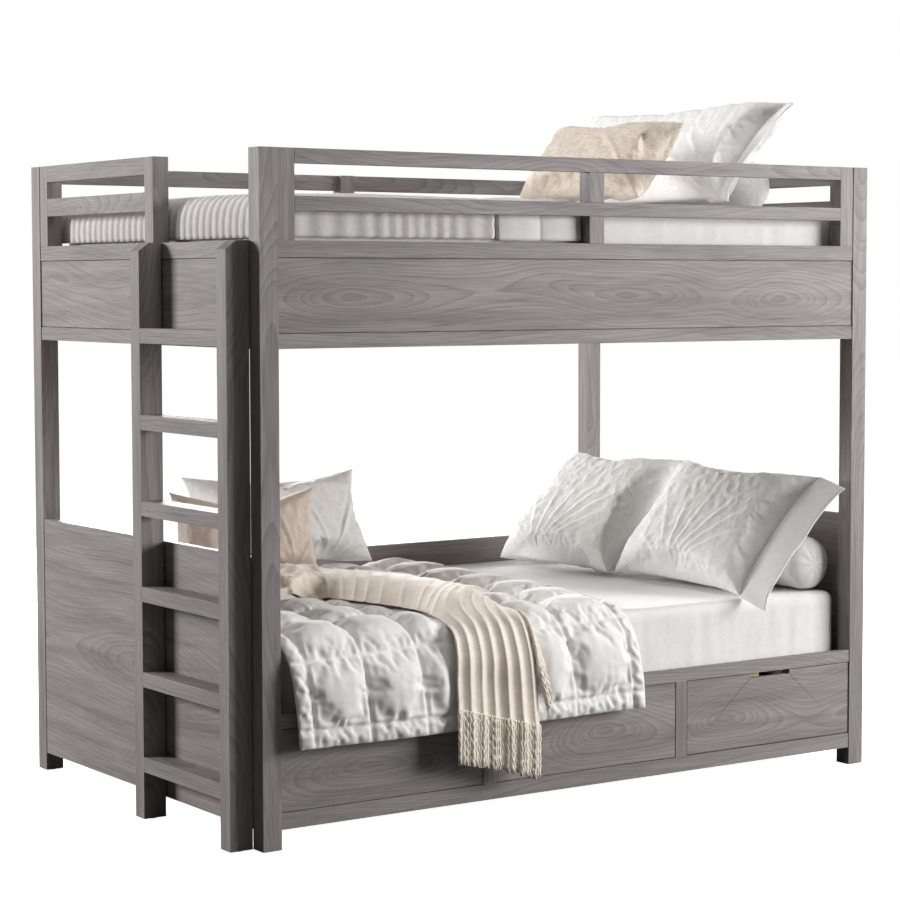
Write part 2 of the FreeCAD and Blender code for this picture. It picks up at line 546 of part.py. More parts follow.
def runner_box(hand, s0, s1, half0, half1):
    """Part of a runner: s is measured from the bay board towards the drawer, and the
    height runs from half0 to half1 each side of the runner's middle line."""
    wall = BAY_X0 if hand < 0 else BAY_X1
    x0, x1 = sorted((wall - hand * s0, wall - hand * s1))
    strips = [(-half1, half1)] if half0 == 0 else [(half0, half1), (-half1, -half0)]
    return [box(x0, x1, RUNNER_Y0, RUNNER_Y0 + RUNNER_L, RUNNER_Z + z0, RUNNER_Z + z1) for z0, z1 in strips]


OUT_H = RUNNER_H / 2                                # half heights of the three members
MID_H = OUT_H - T - RUNNER_PLAY
IN_H = MID_H - T - RUNNER_PLAY
MID_WEB = RUNNER_SPACE / 2 - T / 2
for node, parts in (
        ("runner_cabinet_members", lambda hand: runner_box(hand, 0, T, 0, OUT_H)
            + runner_box(hand, T, RUNNER_SPACE - RUNNER_LIP_CLEAR, OUT_H - T, OUT_H)),
        ("runner_middle_members", lambda hand: runner_box(hand, MID_WEB, MID_WEB + T, 0, MID_H)
            + runner_box(hand, T + RUNNER_PLAY, RUNNER_SPACE - T - RUNNER_PLAY, MID_H - T, MID_H)),
        ("runner_drawer_members", lambda hand: runner_box(hand, RUNNER_SPACE - T, RUNNER_SPACE, 0, IN_H)
            + runner_box(hand, MID_WEB + T + RUNNER_PLAY, RUNNER_SPACE - T, IN_H - T, IN_H))):
    save(node, *(fuse(*parts(hand)) for hand in (-1, 1)))


# ---------------------------------------------------------------- bedding
def mattress(slat_top, to_head=0):
    solid = box(to_head - MATTRESS_L / 2, to_head + MATTRESS_L / 2, -MATTRESS_W / 2, MATTRESS_W / 2,
                slat_top, slat_top + MATTRESS_T)
    return solid.makeFillet(30, [e for e in solid.Edges if abs(e.CenterOfMass.z - slat_top - MATTRESS_T / 2) < 1])


save("lower_mattress", mattress(LOWER_SLAT_TOP, LOWER_MATTRESS_TO_HEAD))
save("upper_mattress", mattress(UPPER_SLAT_TOP))
LOWER_BED = LOWER_SLAT_TOP + MATTRESS_T
UPPER_BED = UPPER_SLAT_TOP + MATTRESS_T
SIDE_GAP = 3.0                                      # cloth to the woodwork it hangs beside

# The comforter lies on the lower mattress and hangs over the front rail.
cover_z0 = LOWER_BED + COVER_LIFT
cover_z1 = cover_z0 + COVER_T
drop_y1 = Y0 - SIDE_GAP
drop_y0 = drop_y1 - COVER_T
cover_x0, cover_x1 = X0 + POST + SIDE_GAP, X1 - COVER_HEAD_GAP
save("comforter", fuse(box(cover_x0, cover_x1, drop_y0, MATTRESS_W / 2, cover_z0, cover_z1),
                       box(cover_x0, cover_x1 - COVER_DROP_IN, drop_y0, drop_y1, COVER_BOTTOM, cover_z1)))

# The throw: a crumpled bunch in front of the ladder-end pillows, a band that runs from it
# across the bed, and a part that hangs over the front.
FOOT_PILLOW_T = 110.0
FOOT_PILLOW_Y = MATTRESS_W / 2 - 420
throw_z0 = cover_z1 + COVER_LIFT
throw_y1 = drop_y0 - COVER_LIFT
throw_y0 = throw_y1 - THROW_T
band_x1 = X0 + THROW_X1 + 25
bunch_y0, bunch_y1 = -MATTRESS_W / 24, FOOT_PILLOW_Y - FOOT_PILLOW_T / 2 - THROW_PILLOW_GAP
save("throw_blanket", fuse(
    box(X0 + THROW_X0, X0 + THROW_X1, throw_y0, bunch_y0, throw_z0, throw_z0 + THROW_T),
    box(X0 + THROW_X0, X0 + THROW_X1, throw_y0, throw_y1, THROW_BOTTOM, throw_z0 + THROW_T),
    box(band_x1 - THROW_BAND_W, band_x1, Y0 + POST, bunch_y0, throw_z0, throw_z0 + THROW_BAND_H),
    box(band_x1 - THROW_BUNCH_W, band_x1, bunch_y0, bunch_y1, throw_z0, throw_z0 + THROW_BUNCH_H)))


def upper_cover(x0, x1, end_drop):
    """A cover over the upper mattress, tucked behind the front guard rails."""
    z0 = UPPER_BED + COVER_LIFT
    front0 = Y0 + BOARD_SET_BACK + GUARD_RAIL_T + SIDE_GAP
    pieces = [box(x0, x1, -MATTRESS_W / 2, MATTRESS_W / 2, z0, z0 + COVER_T),
              box(max(x0, -STILE_X + UPRIGHT_W / 2 + SIDE_GAP), x1, front0, -MATTRESS_W / 2 - COVER_LIFT,
                  UPPER_CAP_TOP + SIDE_GAP, z0 + COVER_T),
              box(max(x0, -STILE_X + UPRIGHT_W / 2 + SIDE_GAP), x1, front0, -MATTRESS_W / 2, z0, z0 + COVER_T)]
    if end_drop:
        pieces.append(box(x0, -MATTRESS_L / 2 - COVER_LIFT, -MATTRESS_W / 2, MATTRESS_W / 2,
                          UPPER_CAP_TOP + SIDE_GAP, z0 + COVER_T))
    return fuse(*pieces)


coverlet_x0 = COVERLET_X1 - COVERLET_W
quilt_x0 = X0 + max(POST, UPRIGHT_IN) + SIDE_GAP
save("channel_quilt", upper_cover(quilt_x0, coverlet_x0 - COVER_LIFT, True))
save("folded_coverlet", upper_cover(coverlet_x0, COVERLET_X1, False))


def pillow(width, depth, height, centre, turn, lean):
    """A pillow as a block with rounded edges: stood on its long edge, leaned back by lean
    degrees, turned about Z by turn degrees, then placed by the middle of its lower edge."""
    block = Part.makeBox(width, depth, height, FreeCAD.Vector(-width / 2, -depth / 2, 0))
    block = block.makeFillet(min(PILLOW_EDGE_R, depth * 0.45), block.Edges)
    block.rotate(FreeCAD.Vector(0, 0, 0), FreeCAD.Vector(1, 0, 0), -lean)
    block.rotate(FreeCAD.Vector(0, 0, 0), FreeCAD.Vector(0, 0, 1), turn)
    low = block.BoundBox.ZMin
    block.translate(FreeCAD.Vector(centre[0], centre[1], centre[2] - low))
    return block


def bolster(length, r, centre, way):
    """A round bolster with rounded ends."""
    n = math.hypot(*way)
    ux, uy = way[0] / n, way[1] / n
    start = (centre[0] - ux * length / 2, centre[1] - uy * length / 2, centre[2] + r)
    solid = rod(r, length, start, (ux, uy, 0))
    return solid.makeFillet(r * 0.4, [e for e in solid.Edges if e.Closed])


on_upper = UPPER_BED + COVER_LIFT
on_lower = LOWER_BED + COVER_LIFT
on_throw = cover_z1 + COVER_LIFT

HALF_BED = MATTRESS_W / 2

# Head-end pillows stand across the bed and lean towards the head end; a round bolster
# lies behind them.  On the upper bed a wide sham stands behind a woven lumbar pillow.
LUMBAR_W, SHAM_W = 600, 980
LUMBAR_SIDE, SHAM_SIDE = 60, 65                     # in from the mattress's front edge
HEAD_PILLOW_X, BOLSTER_X = X1 - 476.5, X1 - 151.5
NEAR_PILLOW_W, FAR_PILLOW_W = HALF_BED - 20, HALF_BED - 30
BOLSTER_SIDE = 35                                   # in from the mattress's edge
SHORT_BOLSTER_L = MATTRESS_W - 310
save("upper_pillows",
     pillow(LUMBAR_W, 105, 300, (X1 - 811.5, LUMBAR_SIDE + LUMBAR_W / 2 - HALF_BED, on_upper), -90, 33),
     pillow(SHAM_W, 110, 430, (X1 - 481.5, SHAM_SIDE + SHAM_W / 2 - HALF_BED, on_upper), -90, 41),
     bolster(SHORT_BOLSTER_L, BOLSTER_R,
             (X1 - 191.5, HALF_BED - BOLSTER_SIDE - SHORT_BOLSTER_L / 2, on_upper), (0, 1)))
save("lower_head_pillows",
     pillow(NEAR_PILLOW_W, 105, 440, (HEAD_PILLOW_X, -HALF_BED / 2 - 3, on_lower), -90, 47),
     pillow(FAR_PILLOW_W, 105, 440, (HEAD_PILLOW_X, HALF_BED / 2 - 10, on_lower), -90, 47),
     bolster(MATTRESS_W - 2 * BOLSTER_SIDE, BOLSTER_R, (BOLSTER_X, 0, on_lower), (0, 1)))

# Ladder-end pillows stand along the bed, a small one in front of a larger one.
save("lower_foot_pillows",
     pillow(540, FOOT_PILLOW_T, 300, (X0 + 526.5, FOOT_PILLOW_Y, on_throw), 0, 15),
     pillow(650, 120, 370, (X0 + 716.5, HALF_BED - 240, on_throw), 0, 18))
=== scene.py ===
"""Bunk bed with ladder: grey-stained woodwork, with its mattresses and bedding.

Metres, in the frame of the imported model: the floor centre of the four posts, +X away from
the ladder, +Y to the back and +Z up.
"""
import math

import bpy
import numpy as np
from mathutils import Matrix, Vector, noise


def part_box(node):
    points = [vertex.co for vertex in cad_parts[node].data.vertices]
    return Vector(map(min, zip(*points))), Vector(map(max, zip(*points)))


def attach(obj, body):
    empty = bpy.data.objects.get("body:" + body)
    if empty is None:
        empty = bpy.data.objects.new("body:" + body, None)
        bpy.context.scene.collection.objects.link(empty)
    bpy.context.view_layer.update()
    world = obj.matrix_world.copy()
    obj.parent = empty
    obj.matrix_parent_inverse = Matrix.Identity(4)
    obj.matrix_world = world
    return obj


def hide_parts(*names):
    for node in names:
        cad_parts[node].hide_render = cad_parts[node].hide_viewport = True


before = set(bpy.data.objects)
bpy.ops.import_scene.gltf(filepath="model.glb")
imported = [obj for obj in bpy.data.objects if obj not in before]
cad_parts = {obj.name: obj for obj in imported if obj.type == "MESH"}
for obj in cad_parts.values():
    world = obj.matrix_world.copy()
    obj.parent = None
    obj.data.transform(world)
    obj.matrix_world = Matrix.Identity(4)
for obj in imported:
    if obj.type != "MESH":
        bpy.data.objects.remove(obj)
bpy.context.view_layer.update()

scene = bpy.context.scene
MM = 0.001


# ================================================================ materials
def linear(code):
    """An sRGB hex colour as linear red, green, blue and alpha."""
    parts = [int(code[i:i + 2], 16) / 255 for i in (1, 3, 5)]
    return tuple(c / 12.92 if c <= 0.04045 else ((c + 0.055) / 1.055) ** 2.4 for c in parts) + (1.0,)


def add(tree, kind, inputs=None, **settings):
    """Adds a node with its settings.  An input is a value, an output, or a node's first output."""
    node = tree.nodes.new(kind)
    for key, value in settings.items():
        setattr(node, key, value)
    for key, value in (inputs or {}).items():
        source = value.outputs[0] if isinstance(value, bpy.types.Node) else value
        if isinstance(source, bpy.types.NodeSocket):
            tree.links.new(source, node.inputs[key])
        else:
            node.inputs[key].default_value = source
    return node


def new_material(name, **constants):
    """A material with its shader, whose constant settings go on the shader's own sockets."""
    material = bpy.data.materials.new(name)
    material.use_nodes = True
    tree = material.node_tree
    shader = tree.nodes["Principled BSDF"]
    for key, value in constants.items():
        shader.inputs[key.replace("_", " ")].default_value = value
    return material, tree, shader


def ramp(tree, value, *stops):
    """A colour ramp through (position, hex) stops."""
    node = add(tree, "ShaderNodeValToRGB", {0: value})
    band = node.color_ramp
    while len(band.elements) < len(stops):
        band.elements.new(1.0)
    for element, (position, code) in zip(band.elements, stops):
        element.position = position
        element.color = linear(code)
    return node


def grey_stained_oak(name, along, across, middle, seed, tones=("#6F6968", "#8E8786", "#A29B9A"), eyes=(),
                     ring=9.5):
    """Oak veneer, plain sawn, wire-brushed and stained warm grey under a matt lacquer.  The eye
    gets dark growth lines about 9 mm apart that bend into arches and eyes, fine streaks
    along the grain, and a dull sheen that the brushed grain breaks up.  The board is cut
    through a log whose pith wanders along it, near the middle of the node's box; eyes are
    (along, across, reach) in mm, where the pith comes near the face."""
    material, tree, shader = new_material(name, IOR=1.5, Specular_IOR_Level=0.32)
    through = ({"X", "Y", "Z"} - {along, across}).pop()
    place = add(tree, "ShaderNodeTexCoord").outputs["Object"]
    split = add(tree, "ShaderNodeSeparateXYZ", {0: place})
    g, w, t = split.outputs[along], split.outputs[across], split.outputs[through]
    wander = add(tree, "ShaderNodeTexNoise", {"W": add(tree, "ShaderNodeMath", {0: g, 1: 3.7 * seed}),
                                              "Scale": 0.7, "Detail": 1.0}, noise_dimensions="1D")
    depth = add(tree, "ShaderNodeTexNoise", {"W": add(tree, "ShaderNodeMath", {0: g, 1: 9.1 * seed + 40}),
                                             "Scale": 0.9, "Detail": 0.5}, noise_dimensions="1D")
    side = add(tree, "ShaderNodeMapRange", {0: wander, 1: 0.25, 2: 0.75, 3: -0.05, 4: 0.05})
    under = add(tree, "ShaderNodeMapRange", {0: depth, 1: 0.3, 2: 0.7, 3: 0.02, 4: 0.11})
    offset = (seed * 0.137) % 0.12 - 0.06
    p = add(tree, "ShaderNodeMath", {0: w, 1: side}, operation="SUBTRACT")
    p = add(tree, "ShaderNodeMath", {0: p, 1: offset + middle["XYZ".index(across)]}, operation="SUBTRACT")
    q = under
    for eye_along, eye_across, reach in eyes:
        away = add(tree, "ShaderNodeMath", {0: g, 1: eye_along * MM}, operation="SUBTRACT")
        before = add(tree, "ShaderNodeMath", {0: away, 1: -1.4}, operation="MULTIPLY")
        away = add(tree, "ShaderNodeMath", {0: away, 1: before}, operation="MAXIMUM")
        near = add(tree, "ShaderNodeMapRange", {0: away, 1: 0.0, 2: reach * MM, 3: 1.0, 4: 0.0},
                   interpolation_type="SMOOTHSTEP")
        level = add(tree, "ShaderNodeMath", {0: w, 1: eye_across * MM}, operation="SUBTRACT")
        p = add(tree, "ShaderNodeMix", {0: near, 2: p, 3: level})
        dip = add(tree, "ShaderNodeMath", {0: away, 1: 0.085}, operation="MULTIPLY")
        q = add(tree, "ShaderNodeMix", {0: near, 2: q, 3: dip})
    t = add(tree, "ShaderNodeMath", {0: t, 1: middle["XYZ".index(through)]}, operation="SUBTRACT")
    t = add(tree, "ShaderNodeMath", {0: t}, operation="ABSOLUTE")
    q = add(tree, "ShaderNodeMath", {0: q, 1: t})
    log = add(tree, "ShaderNodeCombineXYZ", {0: p, 1: q})
    radius = add(tree, "ShaderNodeVectorMath", {0: log}, operation="LENGTH").outputs["Value"]
    stretch = {"X": (2.0, 14.0, 14.0), "Y": (14.0, 2.0, 14.0), "Z": (14.0, 14.0, 2.0)}[along]
    wavy = add(tree, "ShaderNodeMapping", {0: place, 3: stretch})
    wobble = add(tree, "ShaderNodeTexNoise", {0: wavy, "Scale": 1.0, "Detail": 3.0, "Roughness": 0.6})
    rings = add(tree, "ShaderNodeMath", {0: radius, 1: 1.0 / (ring * MM)}, operation="MULTIPLY")
    rings = add(tree, "ShaderNodeMath", {0: wobble, 1: 0.8, 2: rings}, operation="MULTIPLY_ADD")
    years = add(tree, "ShaderNodeTexNoise", {"W": radius, "Scale": 34.0, "Detail": 2.0},
                noise_dimensions="1D")
    rings = add(tree, "ShaderNodeMath", {0: years, 1: 3.2, 2: rings}, operation="MULTIPLY_ADD")
    turn = add(tree, "ShaderNodeMath", {0: rings}, operation="FRACT")
    late = ramp(tree, turn, (0.0, "#FFFFFF"), (0.10, "#F0F0F0"), (0.60, "#B4B4B4"), (0.84, "#202020"),
                (0.93, "#404040"), (1.0, "#F8F8F8"))
    fine = {"X": (9.0, 520.0, 520.0), "Y": (520.0, 9.0, 520.0), "Z": (520.0, 520.0, 9.0)}[along]
    fibre = add(tree, "ShaderNodeTexNoise", {0: add(tree, "ShaderNodeMapping", {0: place, 3: fine}),
                                             "Scale": 1.0, "Detail": 3.0, "Roughness": 0.65})
    broad = {"X": (1.6, 22.0, 22.0), "Y": (22.0, 1.6, 22.0), "Z": (22.0, 22.0, 1.6)}[along]
    patch = add(tree, "ShaderNodeTexNoise", {0: add(tree, "ShaderNodeMapping",
                                                    {0: place, 1: (seed, seed, seed), 3: broad}),
                                             "Scale": 1.0, "Detail": 4.0, "Roughness": 0.55})
    clear = add(tree, "ShaderNodeMapRange", {0: patch, 1: 0.35, 2: 0.65, 3: 0.10, 4: 0.26})
    tone = add(tree, "ShaderNodeMath", {0: late, 1: clear}, operation="MULTIPLY")
    tone = add(tree, "ShaderNodeMath", {0: fibre, 1: 0.66, 2: tone}, operation="MULTIPLY_ADD")
    tone = add(tree, "ShaderNodeMath", {0: patch, 1: 0.42, 2: tone}, operation="MULTIPLY_ADD")
    dark, mid, light = tones
    colour = ramp(tree, tone, (0.40, dark), (0.66, mid), (0.90, light))
    tree.links.new(colour.outputs[0], shader.inputs["Base Color"])
    dull = add(tree, "ShaderNodeMapRange", {0: fibre, 1: 0.3, 2: 0.7, 3: 0.62, 4: 0.46})
    tree.links.new(dull.outputs[0], shader.inputs["Roughness"])
    bump = add(tree, "ShaderNodeBump", {"Strength": 0.25, "Distance": 0.6 * MM, "Height": tone})
    tree.links.new(bump.outputs[0], shader.inputs["Normal"])
    return material


def softwood(name, along, tones):
    """Planed softwood or birch: pale, with broad soft grain lines and a faint satin."""
    material, tree, shader = new_material(name, IOR=1.5, Specular_IOR_Level=0.3, Roughness=0.6)
    place = add(tree, "ShaderNodeTexCoord").outputs["Object"]
    scale = {"X": (2.0, 60.0, 60.0), "Y": (60.0, 2.0, 60.0), "Z": (60.0, 60.0, 2.0)}[along]
    grain = add(tree, "ShaderNodeTexNoise", {0: add(tree, "ShaderNodeMapping", {0: place, 3: scale}),
                                             "Scale": 1.0, "Detail": 5.0, "Roughness": 0.6})
    colour = ramp(tree, grain, (0.3, tones[0]), (0.7, tones[1]))
    tree.links.new(colour.outputs[0], shader.inputs["Base Color"])
    bump = add(tree, "ShaderNodeBump", {"Strength": 0.2, "Distance": 0.4 * MM, "Height": grain})
    tree.links.new(bump.outputs[0], shader.inputs["Normal"])
    return material


def zinc_plated_steel():
    """Zinc-plated steel, rolled and pressed: bright grey with fine cloudy spangle."""
    material, tree, shader = new_material("zinc_plated_steel", Metallic=1.0)
    place = add(tree, "ShaderNodeTexCoord").outputs["Object"]
    cloud = add(tree, "ShaderNodeTexNoise", {0: place, "Scale": 180.0, "Detail": 3.0})
    colour = ramp(tree, cloud, (0.3, "#9A9DA0"), (0.7, "#C4C6C8"))
    tree.links.new(colour.outputs[0], shader.inputs["Base Color"])
    dull = add(tree, "ShaderNodeMapRange", {0: cloud, 3: 0.3, 4: 0.48})
    tree.links.new(dull.outputs[0], shader.inputs["Roughness"])
    return material


def moulded_plastic():
    """Black polypropylene, moulded, with a fine spark-eroded texture."""
    material, tree, shader = new_material("black_polypropylene", Roughness=0.5)
    place = add(tree, "ShaderNodeTexCoord").outputs["Object"]
    grit = add(tree, "ShaderNodeTexNoise", {0: place, "Scale": 900.0, "Detail": 2.0})
    colour = ramp(tree, grit, (0.3, "#141414"), (0.7, "#1E1E1E"))
    tree.links.new(colour.outputs[0], shader.inputs["Base Color"])
    bump = add(tree, "ShaderNodeBump", {"Strength": 0.3, "Distance": 0.1 * MM, "Height": grit})
    tree.links.new(bump.outputs[0], shader.inputs["Normal"])
    return material


# ================================================================ woodwork
# Node: the axis along the grain, the axis across the visible face, and its eyes.
GRAIN = {
    "X": ["upper_front_rails", "upper_back_rails", "upper_front_panel", "upper_back_panel",
          "guard_front_rails",
          "guard_back_rails", "lower_front_rails", "lower_front_panels", "lower_back_board", "drawer_front"],
    "Y": ["upper_ladder_end_rails", "upper_head_end_rails", "upper_ladder_end_panel", "upper_head_end_panel",
          "guard_ladder_end_rails", "guard_head_end_rails", "lower_ladder_end_board", "lower_head_end_board",
          "ladder_rungs"],
    "Z": ["post_front_ladder", "post_front_head", "post_back_ladder", "post_back_head",
          "guard_front_uprights",
          "guard_back_upright", "guard_ladder_end_uprights", "guard_head_end_upright", "lower_front_dividers",
          "ladder_near_rail", "ladder_far_rail"],
}
ACROSS = {"X": "Z", "Y": "Z", "Z": "X"}
EYES = {"upper_front_panel": [(-809, 1500, 800), (140, 1503, 560), (730, 1490, 500)],
        "lower_front_panels": [(-760, 205, 600), (60, 215, 400)], "drawer_front": [(520, 205, 420)]}
SAWN_EDGE = 1.2            # mm, the rounding of a sawn edge


def dress(node, material):
    """One material in every slot of a CAD node."""
    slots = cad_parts[node].data.materials
    if not slots:
        slots.append(material)
    for i in range(len(slots)):
        slots[i] = material


def ease_edges(node, width=SAWN_EDGE):
    """Sanded edges, so that they catch the light."""
    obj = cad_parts[node]
    weld = obj.modifiers.new("weld", "WELD")
    weld.merge_threshold = 0.02 * MM
    bevel = obj.modifiers.new("bevel", "BEVEL")
    bevel.width = width * MM
    bevel.segments = 2
    bevel.limit_method = "ANGLE"
    bevel.angle_limit = math.radians(40)


seed = 1
for along, nodes in GRAIN.items():
    for node in nodes:
        across = "X" if node == "ladder_rungs" else ACROSS[along]
        low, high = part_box(node)
        dress(node, grey_stained_oak("grey_stained_oak_" + node, along, across, (low + high) / 2, seed,
                                     eyes=EYES.get(node, ())))
        ease_edges(node)
        seed += 1

pine_y = softwood("planed_pine_slats", "Y", ("#C9AE86", "#E2CDA8"))
pine_x = softwood("planed_pine_bearers", "X", ("#C9AE86", "#E2CDA8"))
# The drawer box is pale birch, but it is given dark tones here as painted shade for the dim inside of the
# drawer bay.
birch = softwood("birch_drawer_box_dark_as_painted_shade", "Y", ("#4F453C", "#655849"))
for node in ("lower_slats", "upper_slats"):
    dress(node, pine_y)
for node in ("lower_ledgers", "upper_ledgers", "centre_beams", "centre_legs", "drawer_bay_boards"):
    dress(node, pine_x)
for node in ("drawer_sides", "drawer_ends", "drawer_floor"):
    dress(node, birch)
steel = zinc_plated_steel()
for node in ("corner_angles", "angle_screws", "ladder_plates", "ladder_bolts", "runner_cabinet_members",
             "runner_middle_members", "runner_drawer_members"):
    dress(node, steel)
dress("floor_glides", moulded_plastic())


# ================================================================ cloth materials
def woven_cloth(name, tones, thread=0.9, slub=0.0, crumple=0.35, deep=2.2, roughness=0.85, sheen=0.25):
    """A woven cloth: warp and weft threads, a soft crumple from washing, and a faint fuzz that
    lightens it at a glancing angle.  thread is the spacing in mm, drawn as coarse as it
    needs to be to show; slub is how much thick and thin yarns differ; deep is the crumple in mm."""
    material, tree, shader = new_material(name, Roughness=roughness, Specular_IOR_Level=0.2,
                                          Sheen_Weight=sheen, Sheen_Roughness=0.5)
    place = add(tree, "ShaderNodeTexCoord").outputs["Object"]
    step = 1 / (thread * MM)
    warp = add(tree, "ShaderNodeTexNoise", {0: add(tree, "ShaderNodeMapping",
                                                   {0: place, 3: (step, step * 0.06, step * 0.06)}),
                                            "Scale": 1.0, "Detail": 1.0})
    weft = add(tree, "ShaderNodeTexNoise", {0: add(tree, "ShaderNodeMapping",
                                                   {0: place, 3: (step * 0.06, step, step)}),
                                            "Scale": 1.0, "Detail": 1.0})
    weave = add(tree, "ShaderNodeMath", {0: warp, 1: weft}, operation="MAXIMUM")
    wash = add(tree, "ShaderNodeTexNoise", {0: place, "Scale": 42.0, "Detail": 4.0, "Roughness": 0.55,
                                            "Distortion": 0.8})
    crease = add(tree, "ShaderNodeMath", {0: wash, 1: 0.5}, operation="SUBTRACT")
    crease = add(tree, "ShaderNodeMath", {0: crease}, operation="ABSOLUTE")
    shade = add(tree, "ShaderNodeMath", {0: weave, 1: 0.55 + slub}, operation="MULTIPLY")
    shade = add(tree, "ShaderNodeMath", {0: wash, 1: 0.45, 2: shade}, operation="MULTIPLY_ADD")
    colour = ramp(tree, shade, (0.38, tones[0]), (0.62 + slub * 0.5, tones[1]))
    tree.links.new(colour.outputs[0], shader.inputs["Base Color"])
    fine = add(tree, "ShaderNodeBump", {"Strength": 0.25, "Distance": 0.25 * MM, "Height": weave})
    soft = add(tree, "ShaderNodeBump", {"Strength": crumple, "Distance": deep * MM, "Height": crease,
                                        "Normal": fine})
    tree.links.new(soft.outputs[0], shader.inputs["Normal"])
    return material


WHITE_COTTON = woven_cloth("washed_cotton_percale", ("#E4E2E1", "#F0EFEE"), thread=0.8, crumple=0.8, deep=4.0)
FITTED_SHEET = woven_cloth("cotton_sateen_sheet", ("#E6E3E2", "#F1EFEE"), thread=0.7, crumple=0.16)
COMFORTER_CLOTH = woven_cloth("brushed_cotton_comforter", ("#E9E6E4", "#F5F3F1"), thread=0.9, crumple=0.25)
QUILT_CLOTH = woven_cloth("stonewashed_linen_quilt", ("#CAC4C2", "#DDD8D6"), thread=1.2, crumple=0.3)
COVERLET_CLOTH = woven_cloth("cotton_coverlet", ("#DDD8D6", "#E9E5E3"), thread=0.9, crumple=0.12)
WOOL = woven_cloth("oat_wool_throw", ("#E2D3C2", "#F6ECE1"), thread=1.6, slub=0.1, crumple=0.15, sheen=0.5)
FRINGE_WOOL = woven_cloth("oat_wool_fringe", ("#D8C6B0", "#F8EFE3"), thread=2.2, slub=0.2, crumple=0.2,
                          sheen=0.4)
SLUB_LINEN = woven_cloth("slub_linen_pillow", ("#B39C86", "#E4D9CC"), thread=2.6, slub=0.25, crumple=0.2)
BEIGE_LINEN = woven_cloth("beige_linen_pillow", ("#CBBBAE", "#DACDC1"), thread=1.2, crumple=0.3)


# ================================================================ making cloth shapes
def piece(name, points, faces, material, nodes=()):
    """A new piece of the bedding, which goes with the bed and stands for the CAD nodes."""
    mesh = bpy.data.meshes.new(name)
    mesh.from_pydata([tuple(p) for p in points], [], faces)
    mesh.shade_smooth()
    mesh.materials.append(material)
    obj = bpy.data.objects.new(name, mesh)
    scene.collection.objects.link(obj)
    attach(obj, "bed")
    if nodes:
        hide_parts(*nodes)
    return obj


def smooth_path(points, count):
    """Evenly spaced points on a smooth curve through the given ones."""
    points = [np.array(p, float) for p in points]
    points = [2 * points[0] - points[1]] + points + [2 * points[-1] - points[-2]]
    dense = []
    for a, b, c, d in zip(points, points[1:], points[2:], points[3:]):
        for t in np.linspace(0, 1, 24, endpoint=False):
            dense.append(0.5 * (2 * b + (c - a) * t + (2 * a - 5 * b + 4 * c - d) * t ** 2
                                + (3 * b - a - 3 * c + d) * t ** 3))
    dense.append(points[-2])
    dense = np.array(dense)
    run = np.concatenate([[0], np.cumsum(np.linalg.norm(np.diff(dense, axis=0), axis=1))])
    at = np.linspace(0, run[-1], count)
    return np.stack([np.interp(at, run, dense[:, k]) for k in range(dense.shape[1])], axis=1), run[-1]


def normals(grid):
    """Unit normals of a grid of points."""
    n = np.cross(np.gradient(grid, axis=0), np.gradient(grid, axis=1))
    return n / np.maximum(np.linalg.norm(n, axis=2, keepdims=True), 1e-12)


def finer(grid):
    """The grid with a point between every two, on a smooth curve through them."""
    for axis in (0, 1):
        g = np.moveaxis(grid, axis, 0)
        ends = np.concatenate([2 * g[:1] - g[1:2], g, 2 * g[-1:] - g[-2:-1]])
        mid = (9 * (ends[1:-2] + ends[2:-1]) - ends[:-3] - ends[3:]) / 16
        out = np.empty((2 * len(g) - 1,) + g.shape[1:])
        out[0::2], out[1::2] = g, mid
        grid = np.moveaxis(out, 0, axis)
    return grid


def shell(outer, inner):
    """Points and faces of a closed shell: an outer grid, and an inner one with the same
    number of points each way or half as many spaces."""
    rows, cols = outer.shape[:2]
    k = (rows - 1) // (inner.shape[0] - 1)
    points = np.concatenate([outer.reshape(-1, 3), inner.reshape(-1, 3)])
    base, width = rows * cols, inner.shape[1]
    out = lambda i, j: i * cols + j
    inn = lambda i, j: base + (i // k) * width + j // k
    faces = [(out(i, j), out(i + 1, j), out(i + 1, j + 1), out(i, j + 1))
             for i in range(rows - 1) for j in range(cols - 1)]
    faces += [(inn(i, j), inn(i, j + k), inn(i + k, j + k), inn(i + k, j))
              for i in range(0, rows - 1, k) for j in range(0, cols - 1, k)]
    for i in range(0, rows - 1, k):
        faces.append(tuple([out(i + n, 0) for n in range(k, -1, -1)] + [inn(i, 0), inn(i + k, 0)]))
        faces.append(tuple([out(i + n, cols - 1) for n in range(k + 1)]
                           + [inn(i + k, cols - 1), inn(i, cols - 1)]))
    for j in range(0, cols - 1, k):
        faces.append(tuple([out(0, j + n) for n in range(k + 1)] + [inn(0, j + k), inn(0, j)]))
        faces.append(tuple([out(rows - 1, j + n) for n in range(k, -1, -1)]
                           + [inn(rows - 1, j), inn(rows - 1, j + k)]))
    return points, faces


